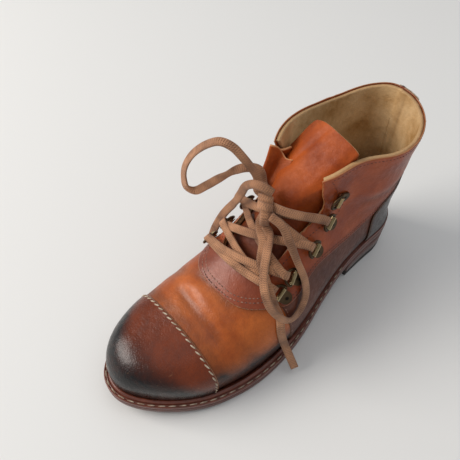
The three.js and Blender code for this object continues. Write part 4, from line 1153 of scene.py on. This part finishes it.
# The bow: two loops and two ends of the same lace, each out of the knot, half turned so that the
# flat side shows. The knot is a thick core with a turn of lace round it.
def wound_round(line, radius, turns, start, end, steps=60):
    """A line wound round a stretch of another, and the directions away from it."""
    index = np.linspace(start, end, steps) * (len(line) - 1)
    below = np.minimum(index.astype(int), len(line) - 2)
    middle = line[below] + (line[below + 1] - line[below]) * (index - below)[:, None]
    axis = unit(line[-1] - line[0])
    side = unit(np.cross(axis, np.array(back)))
    up = np.cross(side, axis)
    angle = np.linspace(0, 2 * math.pi * turns, steps)
    out = np.cos(angle)[:, None] * side * 1.15 + np.sin(angle)[:, None] * up
    return middle + out * radius, out


knot_line = smooth_line(knot_points + [(3.0, -116.4, 104.5)], 8)
core = strip("knot_core", knot_line, np.tile(np.array(back), (len(knot_line), 1)), "lace_knot",
             width=6.6, thickness=5.2)
wrap = strip("knot_wrap", *wound_round(knot_line, 3.9, 1.55, 0.2, 0.5), width=5.4)
for name, points, turn, far_end in (("lace_loop_inner", inner_loop_points, 0.7, "object"),
                                    ("lace_loop_outer", outer_loop_points, 0.6, "object"),
                                    ("lace_end_outer", outer_end_points, 0.3, "bare"),
                                    ("lace_end_inner", inner_end_points, 0.3, "bare")):
    line = smooth_line(points, 6)
    piece = strip(name, line, np.array(back) + unit(line - line.mean(axis=0)) * turn, name)


# Sole: outsole, heel stack and top lift are plates with the outline of the sole, each drawn as
# rows of points that run round it.
def outline_places(start, end, inset, steps):
    first, last = outline_ends(inset)
    first, last = max(start, first), min(end, last)
    half = (1 - np.cos(np.linspace(0, math.pi, steps))) / 2
    return np.concatenate([first + (last - first) * half, first + (last - first) * half[::-1]])


def raised(height_of, by):
    return lambda forward: height_of(forward) + by


def flat(height):
    return lambda forward: height


def plate(name, rim, end, material, steps=90):
    """rim: inset and height of the edge from below to above; both faces close to the middle."""
    mesh = bmesh.new()
    columns = []
    inward = [(rim[0], share) for share in (0.0, 0.5, 0.85)] + [(row, 1.0) for row in rim]
    inward += [(rim[-1], share) for share in (0.85, 0.5, 0.0)]
    for (inset, height), share in inward:
        forward = outline_places(0, end, inset, steps)
        inner, outer = edges(forward, inset)
        edge = np.where(np.arange(2 * steps) < steps, outer, inner)
        middle = (inner + outer) / 2
        columns.append(corners(mesh, np.stack([middle + (edge - middle) * share, heel_back - forward,
                                               height(forward) + 0 * forward], -1)))
    skin(mesh, columns)
    bmesh.ops.remove_doubles(mesh, verts=mesh.verts, dist=1e-5)
    bmesh.ops.dissolve_degenerate(mesh, edges=mesh.edges, dist=1e-6)
    return add_piece(name, mesh, material, "heel" if name == "heel_stack" else name)


def sole_edge(name, light, dark, lines=0.0, roughness=0.42):
    """Waxed leather edge: layers or fibres run along it."""
    material, tree = new_material(name)
    place = place_on(tree)
    lengthwise = add(tree, "ShaderNodeMapping", {"Vector": place, "Scale": (1, 1, 7)})
    fibre = noise(tree, lengthwise.outputs["Vector"], 130.0, 6.0, 0.65)
    height = add(tree, "ShaderNodeSeparateXYZ", {"Vector": place})
    band = combined(tree, "PINGPONG", height.outputs["Z"], layer_height * millimetre)
    depth = combined(tree, "MULTIPLY", stretched(tree, band, 0.0, 0.0003, 1.0, 0.0), lines)
    colour = mixed(tree, stretched(tree, fibre, 0.3, 0.7), dark, light)
    finish_material(tree, {
        "Base Color": mixed(tree, depth, colour, "#1a0f0c"), "Roughness": roughness, "Coat Weight": 0.25,
        "Coat Roughness": 0.25,
        "Normal": relief(tree, combined(tree, "SUBTRACT", fibre, depth), 0.6, 0.0006)})
    return material


layer_height = 3.4
outsole_leather = sole_edge("waxed_sole_leather", "#6e3626", "#3e1e18")
stack_leather = sole_edge("stacked_heel_leather", "#6a3424", "#3a1c16", 0.8)
heel_rubber = sole_edge("rubber_top_lift", "#26201c", "#141110", roughness=0.7)
welt_leather = sole_edge("waxed_welt_leather", "#7c3e2a", "#4c2419", roughness=0.38)
insole_leather = leather("worn_insole_leather", "#9a8468", "#75624c", "#3c3026", raw="#8a745c",
                         roughness=0.6, coat=0.0)
heel_end = 0.265 * length
plate("outsole", [(0.16, sole_floor), (0.03, raised(sole_floor, 0.5)), (0, raised(sole_floor, 1.2)),
                  (0, raised(outsole_top, -1.2)), (0.03, raised(outsole_top, -0.4)),
                  (0.1, outsole_top)], length, outsole_leather)
plate("heel_stack", [(0.35, flat(lift_thickness + clearance)), (0.1, raised(sole_floor, -clearance))],
      heel_end, stack_leather, steps=50)
plate("top_lift", [(0.52, flat(0.0)), (0.46, flat(0.6)), (0.36, flat(lift_thickness))], heel_end,
      heel_rubber, steps=50)
plate("insole", [(1.35, sole_gap), (1.35, raised(sole_gap, insole_thickness))], length, insole_leather)


# Welt: a ledge round the sole, its upper face grooved for the seam; on the fore part a rounded
# bead stands up against the upper. Each row has its inset, the margin past it and its height.
def bead(share):
    return lambda forward: (welt_top(forward)
                            + share * bead_height * rising(forward / length, 0.53, 0.57))


ledge = [(0.05, sole_gap), (0.0, raised(sole_gap, 0.6))]
ledge += [(inset, raised(welt_top, -drop)) for inset, drop in (
    (0.0, 0.8), (0.04, 0.15), (0.09, 0), (0.16, 0.05), (0.2, 0.45), (0.24, 0.45), (0.28, 0),
    (0.33, 0), (0.36, 0.7), (0.39, 0.4))]
ledge += [(inset, bead(share)) for inset, share in (
    (0.42, 0.4), (0.48, 0.8), (0.58, 1), (0.7, 1), (0.8, 0.8), (0.87, 0.4))]
ledge += [(0.9, raised(welt_top, -0.2))]
welt_section = [(inset, 0, height) for inset, height in ledge]
welt_section += [(1.0, upper_wall + 1, height) for height in (welt_top, sole_gap)]
turns = np.linspace(0, 2 * math.pi, 300, endpoint=False)
mesh = bmesh.new()
columns = []
for inset, margin, height in welt_section:
    first, last = outline_ends(inset, margin)
    forward = first + (last - first) * (1 - np.cos(turns)) / 2
    inner, outer = edges(forward, inset, margin)
    columns.append(corners(mesh, np.stack([np.where(turns <= math.pi, outer, inner),
                                           heel_back - forward, height(forward)], -1)))
skin(mesh, columns, closed=True)
add_piece("welt", mesh, welt_leather, "welt")


# Seams. Each stitch is a short thread pulled into the leather at both ends.
def thread(name, light, dark):
    material, tree = new_material(name)
    dirt = noise(tree, place_on(tree), 300.0, 3.0)
    colour = mixed(tree, stretched(tree, dirt, 0.35, 0.65), dark, light)
    finish_material(tree, {"Base Color": colour, "Roughness": 0.7})
    return material


cream_thread = thread("waxed_cream_thread", "#c8bba4", "#8a7560")
brown_thread = thread("brown_thread", "#a8806c", "#4a2a22")
dark_thread = thread("dark_thread", "#6a3a2c", "#2a1512")


def at_run(run, rows, at):
    return np.array([np.interp(at, run, rows[:, axis]) for axis in range(3)])


def stitches(name, line, out, pitch, size, material, slant=0.0):
    """Stitches of the given length, width and height along a line on the leather."""
    run = length_along(line)
    count = max(int(run[-1] / pitch), 1)
    mesh = bmesh.new()
    for index in range(count):
        at = (index + 0.5) * run[-1] / count
        up = unit(at_run(run, out, at))
        ahead = at_run(run, line, at + 1) - at_run(run, line, at - 1)
        ahead = unit(ahead - up * (ahead @ up))
        across = np.cross(up, ahead)
        ahead, across = (ahead * math.cos(slant) + across * math.sin(slant),
                         across * math.cos(slant) - ahead * math.sin(slant))
        turn = np.stack([ahead * size[0] / 2, across * size[1] / 2, up * size[2] / 2], 1) * millimetre
        place = Matrix.Translation(Vector(at_run(run, line, at)) * millimetre) @ Matrix(turn).to_4x4()
        bmesh.ops.create_icosphere(mesh, subdivisions=2, radius=1, matrix=place)
    add_piece(name, mesh, material)


def line_on(distance_of, within, lift, low=0.0, high=last_section):
    """The longest stretch where a distance is nought and all others positive, at a height."""
    mesh = sheet_of([], low=low, high=high)
    marks = cut_along(mesh, distance_of, keep=True)
    places, sides = read_places(mesh)
    points = last_point(places, sides)
    fine = np.all([part(points) > 0 for part in within], axis=0)
    number = {vertex: index for index, vertex in enumerate(mesh.verts)}
    near = {vertex: [edge.other_vert(vertex) for edge in vertex.link_edges
                     if edge.other_vert(vertex) in marks and fine[number[edge.other_vert(vertex)]]]
            for vertex in marks if fine[number[vertex]]}
    best, seen = [], set()
    for start in sorted(near, key=lambda vertex: len(near[vertex])):
        if start in seen:
            continue
        chain, here = [start], start
        seen.add(start)
        while True:
            onward = [vertex for vertex in near[here] if vertex not in seen]
            if not onward:
                break
            here = onward[0]
            seen.add(here)
            chain.append(here)
        best = chain if len(chain) > len(best) else best
    order = [number[vertex] for vertex in best]
    out = last_normal(places[order], sides[order])
    line = points[order] + out * lift
    mesh.free()
    return line, out


def seam(name, distance_of, within, lift, pitch, size, material, slant=0.0, **span):
    line, out = line_on(distance_of, within, lift, **span)
    stitches(name, line, out, pitch, size, material, slant)


above_welt = inside_of(above_feather, 1)
off_back = inside_of(forward_of, 14)
on_overlay, seam_slant = clearance + overlay, 0.28
fine_pitch, fine_stitch = 2.7, (1.9, 0.6, 0.4)
collar_pitch, collar_stitch = 2.9, (1.9, 0.65, 0.4)
facing_rows, quarter_seam_rows = (("low", 1.6), ("high", 4.6)), ((1, 1.7), (2, 4.0))
seam("cap_seam", inside_of(cap_side, 1.5), [above_welt], on_overlay, 5.2, (4.9, 1.15, 0.9), cream_thread,
     seam_slant)
for row, inside in facing_rows:
    seam("facing_seam_" + row, up_to(throat_distance, facing_width - inside),
         [inside_of(front_of_seam, 1.5)], on_overlay, fine_pitch, (2.0, 0.75, 0.5), brown_thread,
         low=6.0, high=15.0)
for flank, sign in flanks.items():
    half = inside_of(lambda point, sign=sign: sign * point[..., 0], 2)
    for row, inside in quarter_seam_rows:
        seam("quarter_seam_%s_%d" % (flank, row), inside_of(above_quarter_edge, inside),
             [half, inside_of(behind_seam, 2), off_back], quarter_step, fine_pitch, fine_stitch,
             dark_thread, low=6.0)
    seam("collar_seam_" + flank, inside_of(under_collar, 3.2),
         [half, inside_of(throat_distance, 3), off_back], quarter_step, collar_pitch, collar_stitch,
         dark_thread, low=12.0)
    seam("throat_seam_" + flank, inside_of(throat_distance, 3.0),
         [half, inside_of(under_collar, 3), inside_of(behind_seam, 3)], quarter_step, collar_pitch,
         collar_stitch, dark_thread, low=7.0)
    seam("counter_seam_" + flank, inside_of(counter_front, 1.8), [half, above_welt, under_counter_top],
         on_lower + overlay, fine_pitch, fine_stitch, brown_thread, low=10.0)
    seam("side_seam_" + flank, inside_of(behind_seam, 1.7),
         [half, above_welt, up_to(above_quarter_edge, -1)], lower_step, fine_pitch, fine_stitch,
         brown_thread, low=6.0)

welt_inset, welt_steps, fore_start = 0.22, 160, 0.3
forward = outline_places(0, length, welt_inset, welt_steps)
inner, outer = edges(forward, welt_inset)
rim = np.stack([np.where(np.arange(2 * welt_steps) < welt_steps, outer, inner), heel_back - forward,
                welt_top(forward) - 0.2], -1)[forward > fore_start * length]
stitches("welt_seam", rim, np.tile([0.0, 0.0, 1.0], (len(rim), 1)), 7.2, (5.6, 0.95, 0.8), cream_thread)
